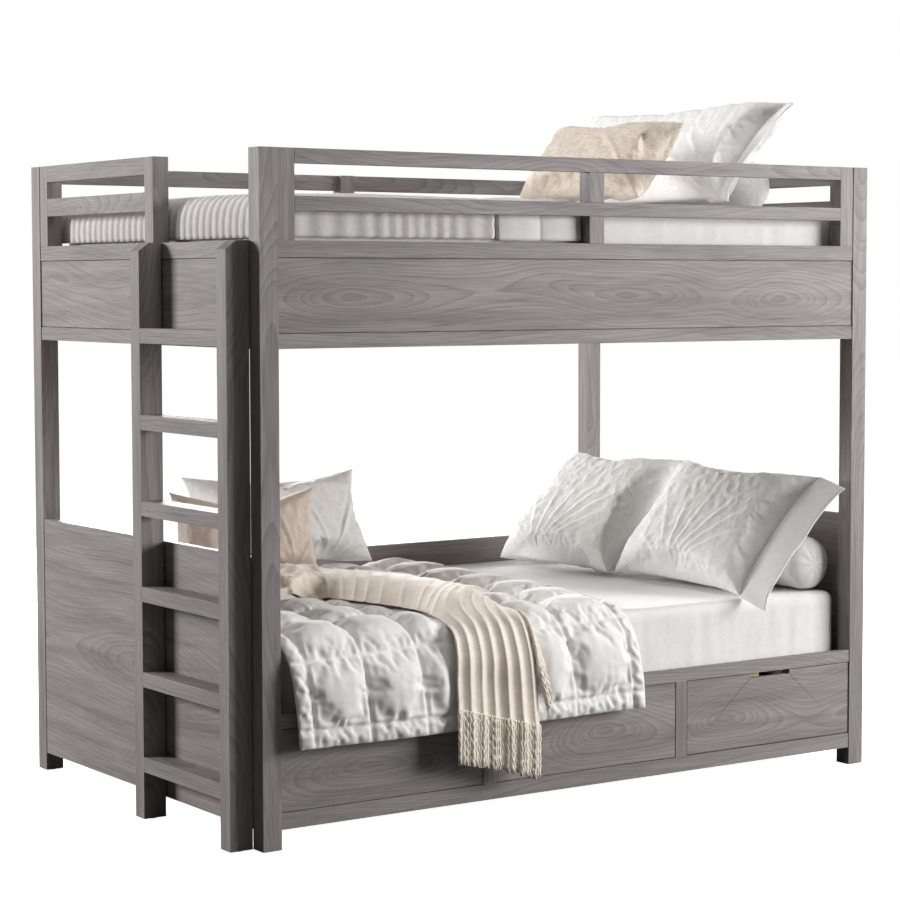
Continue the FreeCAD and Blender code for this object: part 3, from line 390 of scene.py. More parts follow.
def blow_up(points, faces, pressure, pinned=(), grow=0.0, cap=0.03, steps=20):
    """Runs a short cloth simulation under pressure and returns the points, none moved further
    than cap.  grow makes the cloth larger than its shape, so that it wrinkles."""
    points = np.asarray(points, float)
    mesh = bpy.data.meshes.new("trial")
    mesh.from_pydata([tuple(p) for p in points], [], faces)
    obj = bpy.data.objects.new("trial", mesh)
    scene.collection.objects.link(obj)
    cloth = obj.modifiers.new("cloth", "CLOTH")
    cloth.settings.quality = 4
    cloth.settings.use_pressure = True
    cloth.settings.uniform_pressure_force = pressure
    cloth.settings.effector_weights.gravity = 0
    cloth.settings.shrink_min = -grow
    cloth.settings.bending_stiffness = 0.3
    cloth.collision_settings.use_collision = False
    cloth.point_cache.frame_end = steps
    if len(pinned):
        group = obj.vertex_groups.new(name="sewn")
        group.add([int(i) for i in pinned], 1.0, "REPLACE")
        cloth.settings.vertex_group_mass = "sewn"
    for step in range(1, steps + 1):
        scene.frame_set(step)
    done = obj.evaluated_get(bpy.context.evaluated_depsgraph_get()).to_mesh()
    moved = np.empty(len(points) * 3)
    done.vertices.foreach_get("co", moved)
    scene.frame_set(1)
    bpy.data.objects.remove(obj)
    bpy.data.meshes.remove(mesh)
    shift = moved.reshape(-1, 3) - points
    far = np.maximum(np.linalg.norm(shift, axis=1, keepdims=True), 1e-9)
    return points + shift * np.minimum(1.0, cap / far)


def roughen(grid, scale, height, seed):
    """Crease heights over a grid: ridged noise with creases about scale metres apart."""
    out = np.empty(grid.shape[:2])
    for i, row in enumerate(grid):
        for j, p in enumerate(row):
            n = noise.noise(Vector(p) / scale + Vector((seed * 7.7, seed * 3.1, 0)))
            out[i, j] = (1 - 2 * min(1.0, abs(n) * 1.6)) * height
    return out


def fade(x, a, b):
    """0 below a, 1 above b, and smooth between."""
    t = np.clip((x - a) / (b - a), 0, 1)
    return t * t * (3 - 2 * t)


# ================================================================ mattresses in their fitted sheets
def mattress(name, node, seed):
    """A mattress under a tight fitted sheet: rounded edges, a slight crown, and drag lines
    that run down the sides from the top edge."""
    lo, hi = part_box(node)
    centre, half = (lo + hi) / 2, (hi - lo) / 2
    radius, step = 0.032, 0.014
    counts = [round(2 * h / step) for h in half]
    index, points, faces = {}, [], []

    def corner(key):
        if key in index:
            return index[key]
        p = Vector(tuple(half[k] * (2 * key[k] / counts[k] - 1) for k in range(3)))
        core = Vector(tuple(max(-half[k] + radius, min(half[k] - radius, p[k])) for k in range(3)))
        away = p - core
        normal = away.normalized() if away.length > 1e-9 else Vector((0, 0, 1))
        p = core + normal * radius if away.length > 1e-9 else p
        world = centre + p
        side = 1 - abs(normal.z)
        along = world.x if abs(normal.y) > abs(normal.x) else world.y
        drag = noise.noise(Vector((along * 26, world.z * 2.5, seed))) * 2.2 * MM
        fine = noise.noise(Vector((along * 70, world.z * 7, seed + 5))) * 0.9 * MM
        slack = noise.noise(world * 9 + Vector((seed, 0, 0))) * 1.5 * MM
        top = max(0.0, normal.z)
        lift = noise.noise(Vector((world.x * 5, world.y * 5, seed + 9))) * 1.6 * MM * top
        p = world + normal * (side * (drag + fine) + slack * 0.6 - 2.2 * MM) + Vector((0, 0, lift))
        index[key] = len(points)
        points.append(p)
        return index[key]

    for axis in range(3):
        a, b = [k for k in range(3) if k != axis]
        for level in (0, counts[axis]):
            for i in range(counts[a]):
                for j in range(counts[b]):
                    quad = []
                    for di, dj in ((0, 0), (1, 0), (1, 1), (0, 1)):
                        key = [0, 0, 0]
                        key[axis], key[a], key[b] = level, i + di, j + dj
                        quad.append(corner(tuple(key)))
                    outward = (level > 0) == ((b - a) % 3 == 1)
                    faces.append(tuple(quad if outward else quad[::-1]))
    obj = piece(name, points, faces, FITTED_SHEET, [node])


# ================================================================ pillows
CELL = 0.0095              # spacing of the pillows' points before they are made finer


def fan_folds(x, z, origin, folds):
    """Height of sharp folds that spread from a point on the pillow's lower edge."""
    dx, dz = x - origin, z
    r = np.hypot(dx, dz)
    angle = np.arctan2(dx, np.maximum(dz, 1e-6))
    height = np.zeros_like(r)
    for degrees, reach, size in folds:
        bend = math.radians(degrees) * (1 + 0.35 * r / reach)
        off = r * np.sin(np.clip(angle - bend, -1.2, 1.2)) / (0.004 + 0.030 * r)
        along = np.minimum(1, r / 0.14) * fade(r, 0.015, 0.05) * (1 - fade(r, reach * 0.45, reach))
        height += size * along * (off * np.exp(-off ** 2) * 1.5 + 0.6 * np.exp(-off ** 2))
    return height - 0.014 * np.exp(-(r / 0.06) ** 2)


def pillow(name, size, full, place, turn, lean, material, node, seed, fold_at=0.0, folds=(),
           cuff=0.0, crumple=1.0, droop=0.0):
    """A pillow stood on its long edge: two cloths sewn along the edge and blown up, then leant
    back by lean degrees and turned about Z.  place is the middle of its lower edge.  cuff is the
    flat open end of a pillowcase, past the seam, and droop is how far that end sinks."""
    width, height = size
    nx, nz = round(width / CELL), round(height / CELL)
    u, v = np.meshgrid(np.linspace(-1, 1, nx + 1), np.linspace(-1, 1, nz + 1), indexing="ij")
    thick = (full / 2 * 0.72 * np.sqrt(np.clip((1 - u ** 4) * (1 - v ** 4), 0, 1))
             * (1 - 0.25 * u ** 2 * v ** 2))
    pull_x, pull_z = 1 - 0.05 * (1 - v ** 2), 1 - np.where(v > 0, 0.07, -0.03) * (1 - u ** 2)
    x, z = u * width / 2 * pull_x, (v * pull_z + 1) * height / 2
    front = np.stack([x, -thick, z], axis=2)
    back = np.stack([x, thick, z], axis=2)
    index = np.arange((nx + 1) * (nz + 1)).reshape(nx + 1, nz + 1)
    behind = index.copy()
    behind[1:-1, 1:-1] = len(index.ravel()) + np.arange((nx - 1) * (nz - 1)).reshape(nx - 1, nz - 1)
    points = np.concatenate([front.reshape(-1, 3), back[1:-1, 1:-1].reshape(-1, 3)])
    faces = []
    for i in range(nx):
        for j in range(nz):
            a = (index[i, j], index[i + 1, j], index[i + 1, j + 1], index[i, j + 1])
            b = (behind[i, j], behind[i, j + 1], behind[i + 1, j + 1], behind[i + 1, j])
            faces += [tuple(int(k) for k in a), tuple(int(k) for k in b)]
    points = blow_up(points, faces, 3.5, grow=0.018, cap=full * 0.24)
    layers = []
    for order, way in ((index, -1), (behind, 1)):
        grid = finer(points[order])
        out = normals(grid) * (1 if way < 0 else -1)
        edge = np.minimum(1, 6 * (1 - np.abs(np.linspace(-1, 1, grid.shape[0])))[:, None]) \
            * np.minimum(1, 6 * (1 - np.abs(np.linspace(-1, 1, grid.shape[1])))[None, :])
        lift = (roughen(grid, 0.05, 1.6 * MM * crumple, seed + way)
                + roughen(grid, 0.021, 0.8 * MM * crumple, seed + 3))
        if way < 0 and len(folds):
            lift = lift + fan_folds(grid[:, :, 0], grid[:, :, 2], fold_at * width, folds)
        pucker = (np.sin(grid[:, :, 0] * 330 + 3 * np.sin(grid[:, :, 0] * 41))
                  * np.exp(-((height - grid[:, :, 2]) / 0.03) ** 2))
        pucker += np.sin(grid[:, :, 2] * 300 + 3 * np.sin(grid[:, :, 2] * 37)) \
            * np.exp(-((width / 2 - np.abs(grid[:, :, 0])) / 0.03) ** 2)
        layers.append(grid + out * ((lift + pucker * 0.9 * MM * crumple) * edge)[:, :, None])
    big, small = layers
    rows, cols = big.shape[:2]
    small[0], small[-1], small[:, 0], small[:, -1] = big[0], big[-1], big[:, 0], big[:, -1]
    count = rows * cols
    near = np.arange(count).reshape(rows, cols)
    far = near.copy()
    far[1:-1, 1:-1] = count + np.arange((rows - 2) * (cols - 2)).reshape(rows - 2, cols - 2)
    points = np.concatenate([big.reshape(-1, 3), small[1:-1, 1:-1].reshape(-1, 3)])
    faces = []
    for i in range(rows - 1):
        for j in range(cols - 1):
            faces.append((int(near[i, j]), int(near[i + 1, j]), int(near[i + 1, j + 1]), int(near[i, j + 1])))
            faces.append((int(far[i, j]), int(far[i, j + 1]), int(far[i + 1, j + 1]), int(far[i + 1, j])))
    if cuff:
        rim = big[-1]
        s = np.linspace(-0.05, 1, 15)[:, None, None]
        t = np.linspace(0, 1, cols)[None, :, None]
        wave = np.sin(t * 9 + s * 2.5) * 3 * MM * s + np.sin(t * 23 + 1.3) * 1.6 * MM * s
        sheet = (rim[None] + np.concatenate([cuff * s * (1 + 0 * t), 0.10 * cuff * s ** 2 + wave,
                                             -0.16 * cuff * s * (1 + 0 * t)], axis=2))
        edge_points, edge_faces = shell(sheet + np.array([0, -2.2 * MM, 0]),
                                        sheet + np.array([0, 2.2 * MM, 0]))
        start = len(points)
        points = np.concatenate([points, edge_points])
        faces += [tuple(start + k for k in face) for face in edge_faces]
    across_x = points[:, 0].copy()
    turn_all = Matrix.Rotation(math.radians(turn), 3, "Z") @ Matrix.Rotation(math.radians(-lean), 3, "X")
    points = points @ np.array(turn_all).T
    points[:, 2] = np.maximum(points[:, 2], -0.012 + 0.25 * np.minimum(points[:, 2] + 0.012, 0))
    points[:, 2] -= droop * np.clip(across_x / width + 0.1, 0, 1) ** 1.5
    points += np.array(place)
    obj = piece(name, points, faces, material, [node])
    return obj


def bolster(name, radius, start, end, material, node, seed):
    """A round bolster along Y: a plump tube with soft round ends, slightly flattened where it
    lies."""
    length = end[1] - start[1]
    around, rows = 120, []
    stations = [(-0.016, 0.02), (-0.015, 0.3), (-0.010, 0.58), (-0.001, 0.80), (0.009, 0.93), (0.018, 0.975),
                (0.024, 0.985)]
    stations += [(y, 1.0) for y in np.linspace(0.035, length / 2, 26)]
    profile = [(y, r) for y, r in stations] + [(length - y, r) for y, r in reversed(stations[:-1])]
    for k, (y, r) in enumerate(profile):
        ring = []
        for i in range(around):
            a = 2 * math.pi * i / around
            inside = min(y, length - y) < 0.012
            gather = 0.0012 * math.sin(a * 9 + seed) * (1 - abs(2 * r - 1)) if inside else 0.0
            p = Vector((math.cos(a) * r, 0, math.sin(a) * r)) * radius
            dent = noise.noise(Vector((math.cos(a) * 1.5, y * 7, math.sin(a) * 1.5 + seed))) * 0.006
            small = noise.noise(Vector((math.cos(a) * 7, y * 16, math.sin(a) * 7 + seed))) * 0.0016
            out = 1 + (dent + small) / radius * (0.2 if inside else 1)
            flat = max(p.z * out, -radius * 0.94)
            ring.append((start[0] + p.x * out, start[1] + y + gather * (1 if y < length / 2 else -1),
                         start[2] + radius + flat))
        rows.append(ring)
    points = [p for ring in rows for p in ring]
    faces = [(k * around + i, k * around + (i + 1) % around, (k + 1) * around + (i + 1) % around,
              (k + 1) * around + i)
             for k in range(len(rows) - 1) for i in range(around)]
    faces.append(tuple(range(around))[::-1])
    last = (len(rows) - 1) * around
    faces.append(tuple(last + i for i in range(around)))
    obj = piece(name, points, [f[::-1] for f in faces], material, [node])
    return obj


mattress("lower_mattress_in_sheet", "lower_mattress", 3)
mattress("upper_mattress_in_sheet", "upper_mattress", 8)
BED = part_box("lower_mattress")[1].z
TOP_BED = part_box("upper_mattress")[1].z

FAN = [(-62, 0.24, 0.0015), (-44, 0.30, 0.0022), (-25, 0.40, 0.0020), (-9, 0.34, 0.0026), (5, 0.50, 0.0022),
       (20, 0.44, 0.0034), (31, 0.56, 0.0030), (41, 0.50, 0.0038), (52, 0.40, 0.0024), (63, 0.44, 0.0030),
       (77, 0.30, 0.0018)]
pillow("head_pillow_back", (0.60, 0.545), 0.15, (0.594, 0.285, BED + 0.012), -85, 47.0, WHITE_COTTON,
       "lower_head_pillows", 1, fold_at=-0.11, folds=FAN)
pillow("head_pillow_front", (0.675, 0.52), 0.15, (0.640, -0.325, BED + 0.008), -89.5, 42.0, WHITE_COTTON,
       "lower_head_pillows", 2, fold_at=-0.02, folds=FAN, cuff=0.118, droop=0.040)
bolster("head_bolster", 0.084, (0.952, -0.635, BED + 0.001), (0.952, 0.635, BED + 0.001), WHITE_COTTON,
        "lower_head_pillows", 3)
SOFT_FOLDS = [(-50, 0.2, 0.004), (-15, 0.25, 0.004), (20, 0.3, 0.005), (55, 0.3, 0.005)]
pillow("foot_pillow_white", (0.665, 0.36), 0.16, (-0.290, 0.52, BED + 0.036), 0, 24, WHITE_COTTON,
       "lower_foot_pillows", 4, crumple=0.5, fold_at=0.2, folds=SOFT_FOLDS)
pillow("foot_pillow_beige", (0.51, 0.275), 0.13, (-0.535, 0.37, BED + 0.052), -9, 8, BEIGE_LINEN,
       "lower_foot_pillows", 5, fold_at=0.3, folds=SOFT_FOLDS)
pillow("slub_lumbar_pillow", (0.54, 0.33), 0.12, (0.21, -0.37, TOP_BED + 0.026), -81, 42, SLUB_LINEN,
       "upper_pillows", 6, crumple=0.6, fold_at=0.45,
       folds=[(-60, 0.3, 0.005), (-35, 0.35, 0.006), (-75, 0.25, 0.004)])
pillow("sham", (1.02, 0.45), 0.14, (0.645, -0.04, TOP_BED + 0.022), -90, 41, WHITE_COTTON,
       "upper_pillows", 7, fold_at=0.45, folds=[(-70, 0.45, 0.006), (-52, 0.5, 0.008), (-35, 0.4, 0.007),
                                                (-15, 0.3, 0.005)],
       cuff=0.03)
bolster("upper_bolster", 0.084, (0.905, -0.395, TOP_BED + 0.001), (0.905, 0.635, TOP_BED + 0.001),
        WHITE_COTTON, "upper_pillows", 9)


# ================================================================ comforter
def spans(marks, step):
    """Positions that run through all the marks at about the given step, and which are marks."""
    at = [marks[0]]
    sewn = [0]
    for a, b in zip(marks, marks[1:]):
        count = max(2, round((b - a) / step))
        at += list(np.linspace(a, b, count + 1)[1:])
        sewn.append(len(at) - 1)
    return np.array(at), sewn


def table(x, pairs):
    """Smoothly read value for x out of (x, value) pairs."""
    return np.interp(x, [p[0] for p in pairs], [p[1] for p in pairs])


def comforter():
    """A box-stitched comforter that lies on the mattress and hangs over the front, with a
    flat hem all round.  The seams stay put while the filling swells the boxes between them."""
    z = BED
    path, length = smooth_path([(-0.772, 0.279), (-0.770, 0.36), (-0.760, 0.46), (-0.742, z - 0.045),
                                (-0.705, z - 0.001),
                                (-0.64, z + 0.012), (-0.5, z + 0.012), (0.0, z + 0.012), (0.5, z + 0.012),
                                (0.648, z + 0.010)], 400)
    run = np.linspace(0, length, 400)
    columns = [0.0, 0.040, 0.192, 0.346, 0.497, 0.641, 0.784, 0.965, 1.0]
    rows = [0.0, 0.050, 0.245, 0.470, 0.68, 0.88, 1.08, 1.28, 1.48, length - 0.045, length]
    across, sewn_columns = spans([c * 1.2 for c in columns], 0.0112)
    along, sewn_rows = spans(rows, 0.0112)
    c, q = np.meshgrid(across / 1.2, along, indexing="ij")
    drift = 0.045 * (c - 0.2) * fade(q, 0.05, 0.24) * (1 - fade(q, 0.3, 0.65))
    q = q + drift
    left = table(q, [(0, -1.006), (0.30, -1.030), (2, -1.030)])
    right = table(q, [(0, 0.175), (0.08, 0.172), (0.25, 0.150), (0.31, 0.145), (0.36, 0.158), (0.43, 0.182),
                      (0.55, 0.215), (0.68, 0.236), (0.80, 0.264), (1.1, 0.262), (1.4, 0.280), (2, 0.285)])
    x = left + (right - left) * c
    y = np.interp(q, run, path[:, 0])
    h = np.interp(q, run, path[:, 1])
    flare = (1 - fade(q, 0.0, 0.30)) * 5 * MM * np.sin(x * 13 + 0.8)
    seam = np.stack([x, y + flare, h], axis=2)
    out = -normals(seam)
    out *= np.sign(out[-1, -1, 2])
    rise = np.zeros_like(x)
    for a, b in zip(sewn_columns, sewn_columns[1:]):
        for e, f in zip(sewn_rows, sewn_rows[1:]):
            u = np.linspace(0, 1, b - a + 1)[:, None]
            v = np.linspace(0, 1, f - e + 1)[None, :]
            small = min(b - a, f - e) < 7
            top = 8 * MM if small else (17 * MM if along[e] < 0.24 else 26 * MM)
            box = (np.sin(np.pi * u) * np.sin(np.pi * v)) ** 0.55 * top
            rise[a:b + 1, e:f + 1] = np.maximum(rise[a:b + 1, e:f + 1], box)
    grid = seam + out * rise[:, :, None]
    count_x, count_y = grid.shape[:2]
    index = np.arange(count_x * count_y).reshape(count_x, count_y)
    faces = [(int(index[i, j]), int(index[i + 1, j]), int(index[i + 1, j + 1]), int(index[i, j + 1]))
             for i in range(count_x - 1) for j in range(count_y - 1)]
    pinned = set(index[sewn_columns, :].ravel()) | set(index[:, sewn_rows].ravel())
    puffed = blow_up(grid.reshape(-1, 3), faces, 2.2, pinned, grow=0.07, cap=0.014,
                     steps=16).reshape(grid.shape)
    held = fade(x, -0.56, -0.50) * (1 - fade(x, -0.24, -0.18)) * (1 - fade(q, 0.95, 1.15))
    puffed = seam + (puffed - seam) * (1 - 0.85 * held[:, :, None])
    fine = finer(puffed)
    top = -normals(fine)
    top *= np.sign(top[-1, -1, 2])
    qf, cf = finer(q[:, :, None])[:, :, 0], finer(c[:, :, None])[:, :, 0]
    pull = np.zeros(qf.shape)
    for k, row in enumerate(rows[1:-1]):
        centre = row + finer(drift[:, :, None])[:, :, 0]
        off = qf - centre
        phase = (fine[:, :, 0] * (150 + 11 * np.sin(fine[:, :, 0] * 9 + k))
                 + 5 * np.sin(fine[:, :, 0] * 17 + 2 * k) + off * 14)
        reach = 0.030 + 0.035 * (0.5 + 0.5 * np.sin(fine[:, :, 0] * 61 + k * 2.1))
        pull += ((1.9 * MM) * np.sin(phase) * np.exp(-(off / reach) ** 2)
                 * (1 - 0.75 * np.exp(-(off / 0.004) ** 2)))
    for k, column in enumerate(columns[1:-1]):
        off = (cf - column) * 1.2
        phase = qf * (190 + 13 * np.sin(qf * 8 + k)) + 4 * np.sin(qf * 19 + 3 * k) + off * 30
        pull += ((1.1 * MM) * np.sin(phase) * np.exp(-(off / 0.024) ** 2)
                 * (1 - 0.75 * np.exp(-(off / 0.004) ** 2)))
    crinkle = roughen(fine, 0.045, 0.7 * MM, 4)
    outer = fine + top * (pull + crinkle * (1 - np.exp(-((qf % 0.2) / 0.02) ** 2)))[:, :, None]
    inner = seam - out * 5 * MM
    points, faces = shell(outer, inner)
    obj = piece("comforter_on_lower_bed", points, [f[::-1] for f in faces], COMFORTER_CLOTH,
                ["comforter"])
    return obj


# ================================================================ throw
def strand_shape():
    """One twisted wool strand, 1 m long down Z from its knot: two plies and a loop knot."""
    points, faces = [], []
    for ply in (0, 1):
        start = len(points)
        for k in range(9):
            z = -k / 8
            a = math.pi * ply + k * 2.2
            middle = Vector((0.0024 * math.cos(a), 0.0024 * math.sin(a), 0))
            size = 0.0040 if k < 8 else 0.0034
            for i in range(5):
                b = 2 * math.pi * i / 5
                points.append((middle.x + size * math.cos(b), middle.y + size * math.sin(b), z))
        for k in range(8):
            for i in range(5):
                a, b = start + k * 5 + i, start + k * 5 + (i + 1) % 5
                faces.append((a, a + 5, b + 5, b))
        faces.append(tuple(start + i for i in range(5)))
        faces.append(tuple(start + 40 + i for i in reversed(range(5))))
    mesh = bpy.data.meshes.new("strand")
    mesh.from_pydata(points, [], faces)
    mesh.shade_smooth()
    obj = bpy.data.objects.new("strand", mesh)
    scene.collection.objects.link(obj)
    return obj


def fringe(name, edge, length, spacing, spread, seed, sway=0.15, lean=(0.0, 0.0)):
    """Knotted fringe strands hanging from an edge given as points, made with Geometry Nodes:
    one strand at every step along the edge, each its own length and angle, and a knot on each.
    lean is how far the first and the last strand lie over to one side."""
    strand = strand_shape()
    mesh = bpy.data.meshes.new(name)
    mesh.from_pydata([tuple(p) for p in edge], [(i, i + 1) for i in range(len(edge) - 1)], [])
    obj = bpy.data.objects.new(name, mesh)
    scene.collection.objects.link(obj)
    tree = bpy.data.node_groups.new(name, "GeometryNodeTree")
    face = tree.interface
    face.new_socket("Geometry", in_out="INPUT", socket_type="NodeSocketGeometry")
    for label, kind in (("Strand length", "NodeSocketFloat"), ("Strand spacing", "NodeSocketFloat"),
                        ("Length spread", "NodeSocketFloat"), ("Sway", "NodeSocketFloat"),
                        ("Seed", "NodeSocketInt"),
                        ("First lean", "NodeSocketFloat"), ("Last lean", "NodeSocketFloat"),
                        ("Strand", "NodeSocketObject"), ("Wool", "NodeSocketMaterial")):
        face.new_socket(label, in_out="INPUT", socket_type=kind)
    face.new_socket("Geometry", in_out="OUTPUT", socket_type="NodeSocketGeometry")
    given = add(tree, "NodeGroupInput").outputs
    curve = add(tree, "GeometryNodeMeshToCurve", {0: given["Geometry"]})
    dots = add(tree, "GeometryNodeCurveToPoints", {0: curve, "Length": given["Strand spacing"]},
               mode="LENGTH")
    lowest = add(tree, "ShaderNodeMath", {0: given["Strand length"], 1: given["Length spread"]},
                 operation="SUBTRACT")
    longest = add(tree, "ShaderNodeMath", {0: given["Strand length"], 1: given["Length spread"]},
                  operation="ADD")
    tall = add(tree, "FunctionNodeRandomValue", {2: lowest, 3: longest, "Seed": given["Seed"]},
               data_type="FLOAT")
    fat = add(tree, "FunctionNodeRandomValue", {2: 0.85, 3: 1.2, "Seed": given["Seed"]}, data_type="FLOAT")
    size = add(tree, "ShaderNodeCombineXYZ", {0: fat.outputs[1], 1: fat.outputs[1], 2: tall.outputs[1]})
    tip = add(tree, "FunctionNodeRandomValue",
              {0: (-1.0, -0.25, 0.0), 1: (1.0, 0.25, 6.28), "Seed": given["Seed"]}, data_type="FLOAT_VECTOR")
    reach = add(tree, "ShaderNodeCombineXYZ", {0: given["Sway"], 1: given["Sway"], 2: 1.0})
    turn = add(tree, "ShaderNodeVectorMath", {0: tip.outputs[0], 1: reach}, operation="MULTIPLY")
    number = add(tree, "GeometryNodeInputIndex")
    last = add(tree, "GeometryNodeAttributeDomainSize", {0: dots},
               component="POINTCLOUD").outputs["Point Count"]
    tilt = add(tree, "ShaderNodeMapRange", {0: number, 1: 0.0, 2: last, 3: given["First lean"],
                                            4: given["Last lean"]})
    tilt = add(tree, "ShaderNodeCombineXYZ", {1: tilt})
    turn = add(tree, "FunctionNodeEulerToRotation", {0: turn})
    tilt = add(tree, "FunctionNodeEulerToRotation", {0: tilt})
    turn = add(tree, "FunctionNodeRotateRotation", {0: turn, 1: tilt})
    shape = add(tree, "GeometryNodeObjectInfo", {"Object": given["Strand"]})
    placed = add(tree, "GeometryNodeInstanceOnPoints", {"Points": dots, "Instance": shape.outputs["Geometry"],
                                                        "Rotation": turn, "Scale": size})
    knot = add(tree, "GeometryNodeMeshUVSphere", {"Segments": 8, "Rings": 6, "Radius": 0.0052})
    knots = add(tree, "GeometryNodeInstanceOnPoints", {"Points": dots, "Instance": knot})
    both = add(tree, "GeometryNodeJoinGeometry")
    tree.links.new(placed.outputs[0], both.inputs[0])
    tree.links.new(knots.outputs[0], both.inputs[0])
    plain = add(tree, "GeometryNodeRealizeInstances", {0: both})
    done = add(tree, "GeometryNodeSetMaterial", {0: plain, "Material": given["Wool"]})
    add(tree, "NodeGroupOutput", {0: done})
    modifier = obj.modifiers.new("fringe", "NODES")
    modifier.node_group = tree
    values = {"Strand length": length, "Strand spacing": spacing, "Length spread": spread, "Sway": sway,
              "Seed": seed, "First lean": lean[0], "Last lean": lean[1],
              "Strand": strand, "Wool": FRINGE_WOOL}
    for socket in face.items_tree:
        if socket.name in values:
            modifier[socket.identifier] = values[socket.name]
    ready = bpy.data.meshes.new_from_object(obj.evaluated_get(bpy.context.evaluated_depsgraph_get()))
    bpy.data.objects.remove(obj)
    bpy.data.objects.remove(strand)
    ready.name = name
    ready.shade_smooth()
    obj = bpy.data.objects.new(name, ready)
    scene.collection.objects.link(obj)
    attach(obj, "bed")
    return obj


def throw():
    """A ribbed wool throw: bunched up at the foot, drawn across the comforter in a roll and let
    down over the front, where its ribs spread into soft folds above a knotted fringe."""
    z = BED
    stations = [((-0.86, -0.06, z + 0.06), (-0.86, 0.17, z + 0.06)),
                ((-0.74, -0.055, z + 0.055), (-0.72, 0.20, z + 0.05)),
                ((-0.62, -0.05, z + 0.052), (-0.55, 0.22, z + 0.05)),
                ((-0.545, -0.075, z + 0.05), (-0.37, 0.22, z + 0.05)),
                ((-0.505, -0.13, z + 0.05), (-0.23, 0.13, z + 0.05)),
                ((-0.485, -0.21, z + 0.05), (-0.185, -0.02, z + 0.05)),
                ((-0.465, -0.30, z + 0.05), (-0.165, -0.17, z + 0.05)),
                ((-0.442, -0.39, z + 0.048), (-0.165, -0.30, z + 0.05)),
                ((-0.437, -0.48, z + 0.045), (-0.175, -0.42, z + 0.05)),
                ((-0.455, -0.58, z + 0.044), (-0.20, -0.54, z + 0.048)),
                ((-0.485, -0.69, z + 0.034), (-0.225, -0.675, z + 0.043)),
                ((-0.505, -0.765, z - 0.004), (-0.255, -0.768, z + 0.008)),
                ((-0.514, -0.796, z - 0.065), (-0.250, -0.800, z - 0.075)),
                ((-0.515, -0.797, z - 0.145), (-0.236, -0.800, z - 0.185)),
                ((-0.513, -0.797, 0.346), (-0.228, -0.800, 0.271))]
    rows, count = 190, 75         # along the throw, and across it
    last = len(stations) - 1
    near, _ = smooth_path([s[0] for s in stations], rows)
    far, _ = smooth_path([s[1] for s in stations], rows)
    w = np.linspace(0, 1, count)[None, :, None]
    t = np.linspace(0, last, rows)[:, None]
    wide = w[:, :, 0]
    sheet = near[:, None, :] * (1 - w) + far[:, None, :] * w
    hang = fade(t, 10.2, 12.0)
    roll = fade(t, 2.6, 4.5) * (1 - fade(t, 9.2, 11.0))
    bunch = 1 - fade(t, 2.8, 4.4)
    arch = (1 - np.abs(2 * wide - 1) ** 2.6)
    sheet[:, :, 2] += roll * arch * 0.042 + bunch * arch * 0.035 - (1 - hang) * (1 - arch) * 0.020
    out = normals(sheet)
    out = out * np.sign(out[100, count // 2, 2])
    ribs_down = 6.4 * wide
    ribs_over = t * 1.45 + 1.0 * wide + 0.35 * np.sin(t * 1.3)
    blend = fade(t, 8.0, 11.2)
    rib = ribs_over * (1 - blend) + (ribs_down + 13.6) * blend
    ridge = np.exp(-(((rib % 1.0) - 0.5) / 0.10) ** 2)
    folds = np.cos(2 * np.pi * (rib - 0.5))
    lift = ridge * (3.0 * MM * hang + 2.2 * MM * (1 - hang)) + folds * (3.2 * MM * hang + 0.6 * MM * roll)
    lift += hang * 6 * MM * np.sin(wide * 9.5 + 0.6) * fade(t, 11, 14)
    for i in range(rows):
        for j in range(count):
            p = Vector(sheet[i, j])
            share = float(bunch[i, 0])
            if share > 0.01:
                broad = noise.noise(p * 8 + Vector((3, 1, 0)))
                small = noise.noise(p * 17 + Vector((9, 4, 2)) + Vector((broad, -broad, 0)) * 1.4)
                lift[i, j] += share * ((1 - 2.6 * abs(broad)) * 0.024 + (1 - 3 * abs(small)) * 0.011)
            lift[i, j] += (noise.noise(p * 30) * 1.2 * MM * float(1 - hang[i, 0])
                           + noise.noise(p * 12) * 2.5 * MM)
    sheet = sheet + out * lift[:, :, None]
    sheet[:, :, 2] = np.where(t < 9.0, np.maximum(sheet[:, :, 2], z + 0.030), sheet[:, :, 2])
    sheet[:, :, 1] = np.maximum(sheet[:, :, 1], -0.822)
    fine = finer(sheet)
    top = normals(fine)
    top = top * np.sign(top[200, count, 2])
    points, faces = shell(fine, fine[::2, ::2] - top[::2, ::2] * 4.5 * MM)
    obj = piece("wool_throw", points, faces, WOOL, ["throw_blanket"])
    hem = fine[-1]
    side = fine[2 * round(rows * 10.6 / last):2 * round(rows * 12.7 / last), -1]
    first = fringe("throw_fringe_end", hem + np.array([0, 0, -0.002]), 0.150, 0.0094, 0.005, 5, sway=0.035)
    second = fringe("throw_fringe_side", side + np.array([0.002, -0.009, 0]), 0.150, 0.0100, 0.014, 11,
                    sway=0.05, lean=(-0.62, -0.22))
    return obj


# ================================================================ channel quilt and coverlet
def rib_height(place, rib, size):
    """Height of quilted channels: full between the stitch lines and pinched at them."""
    return size * np.sqrt(np.abs(np.sin(np.pi * place / rib)))


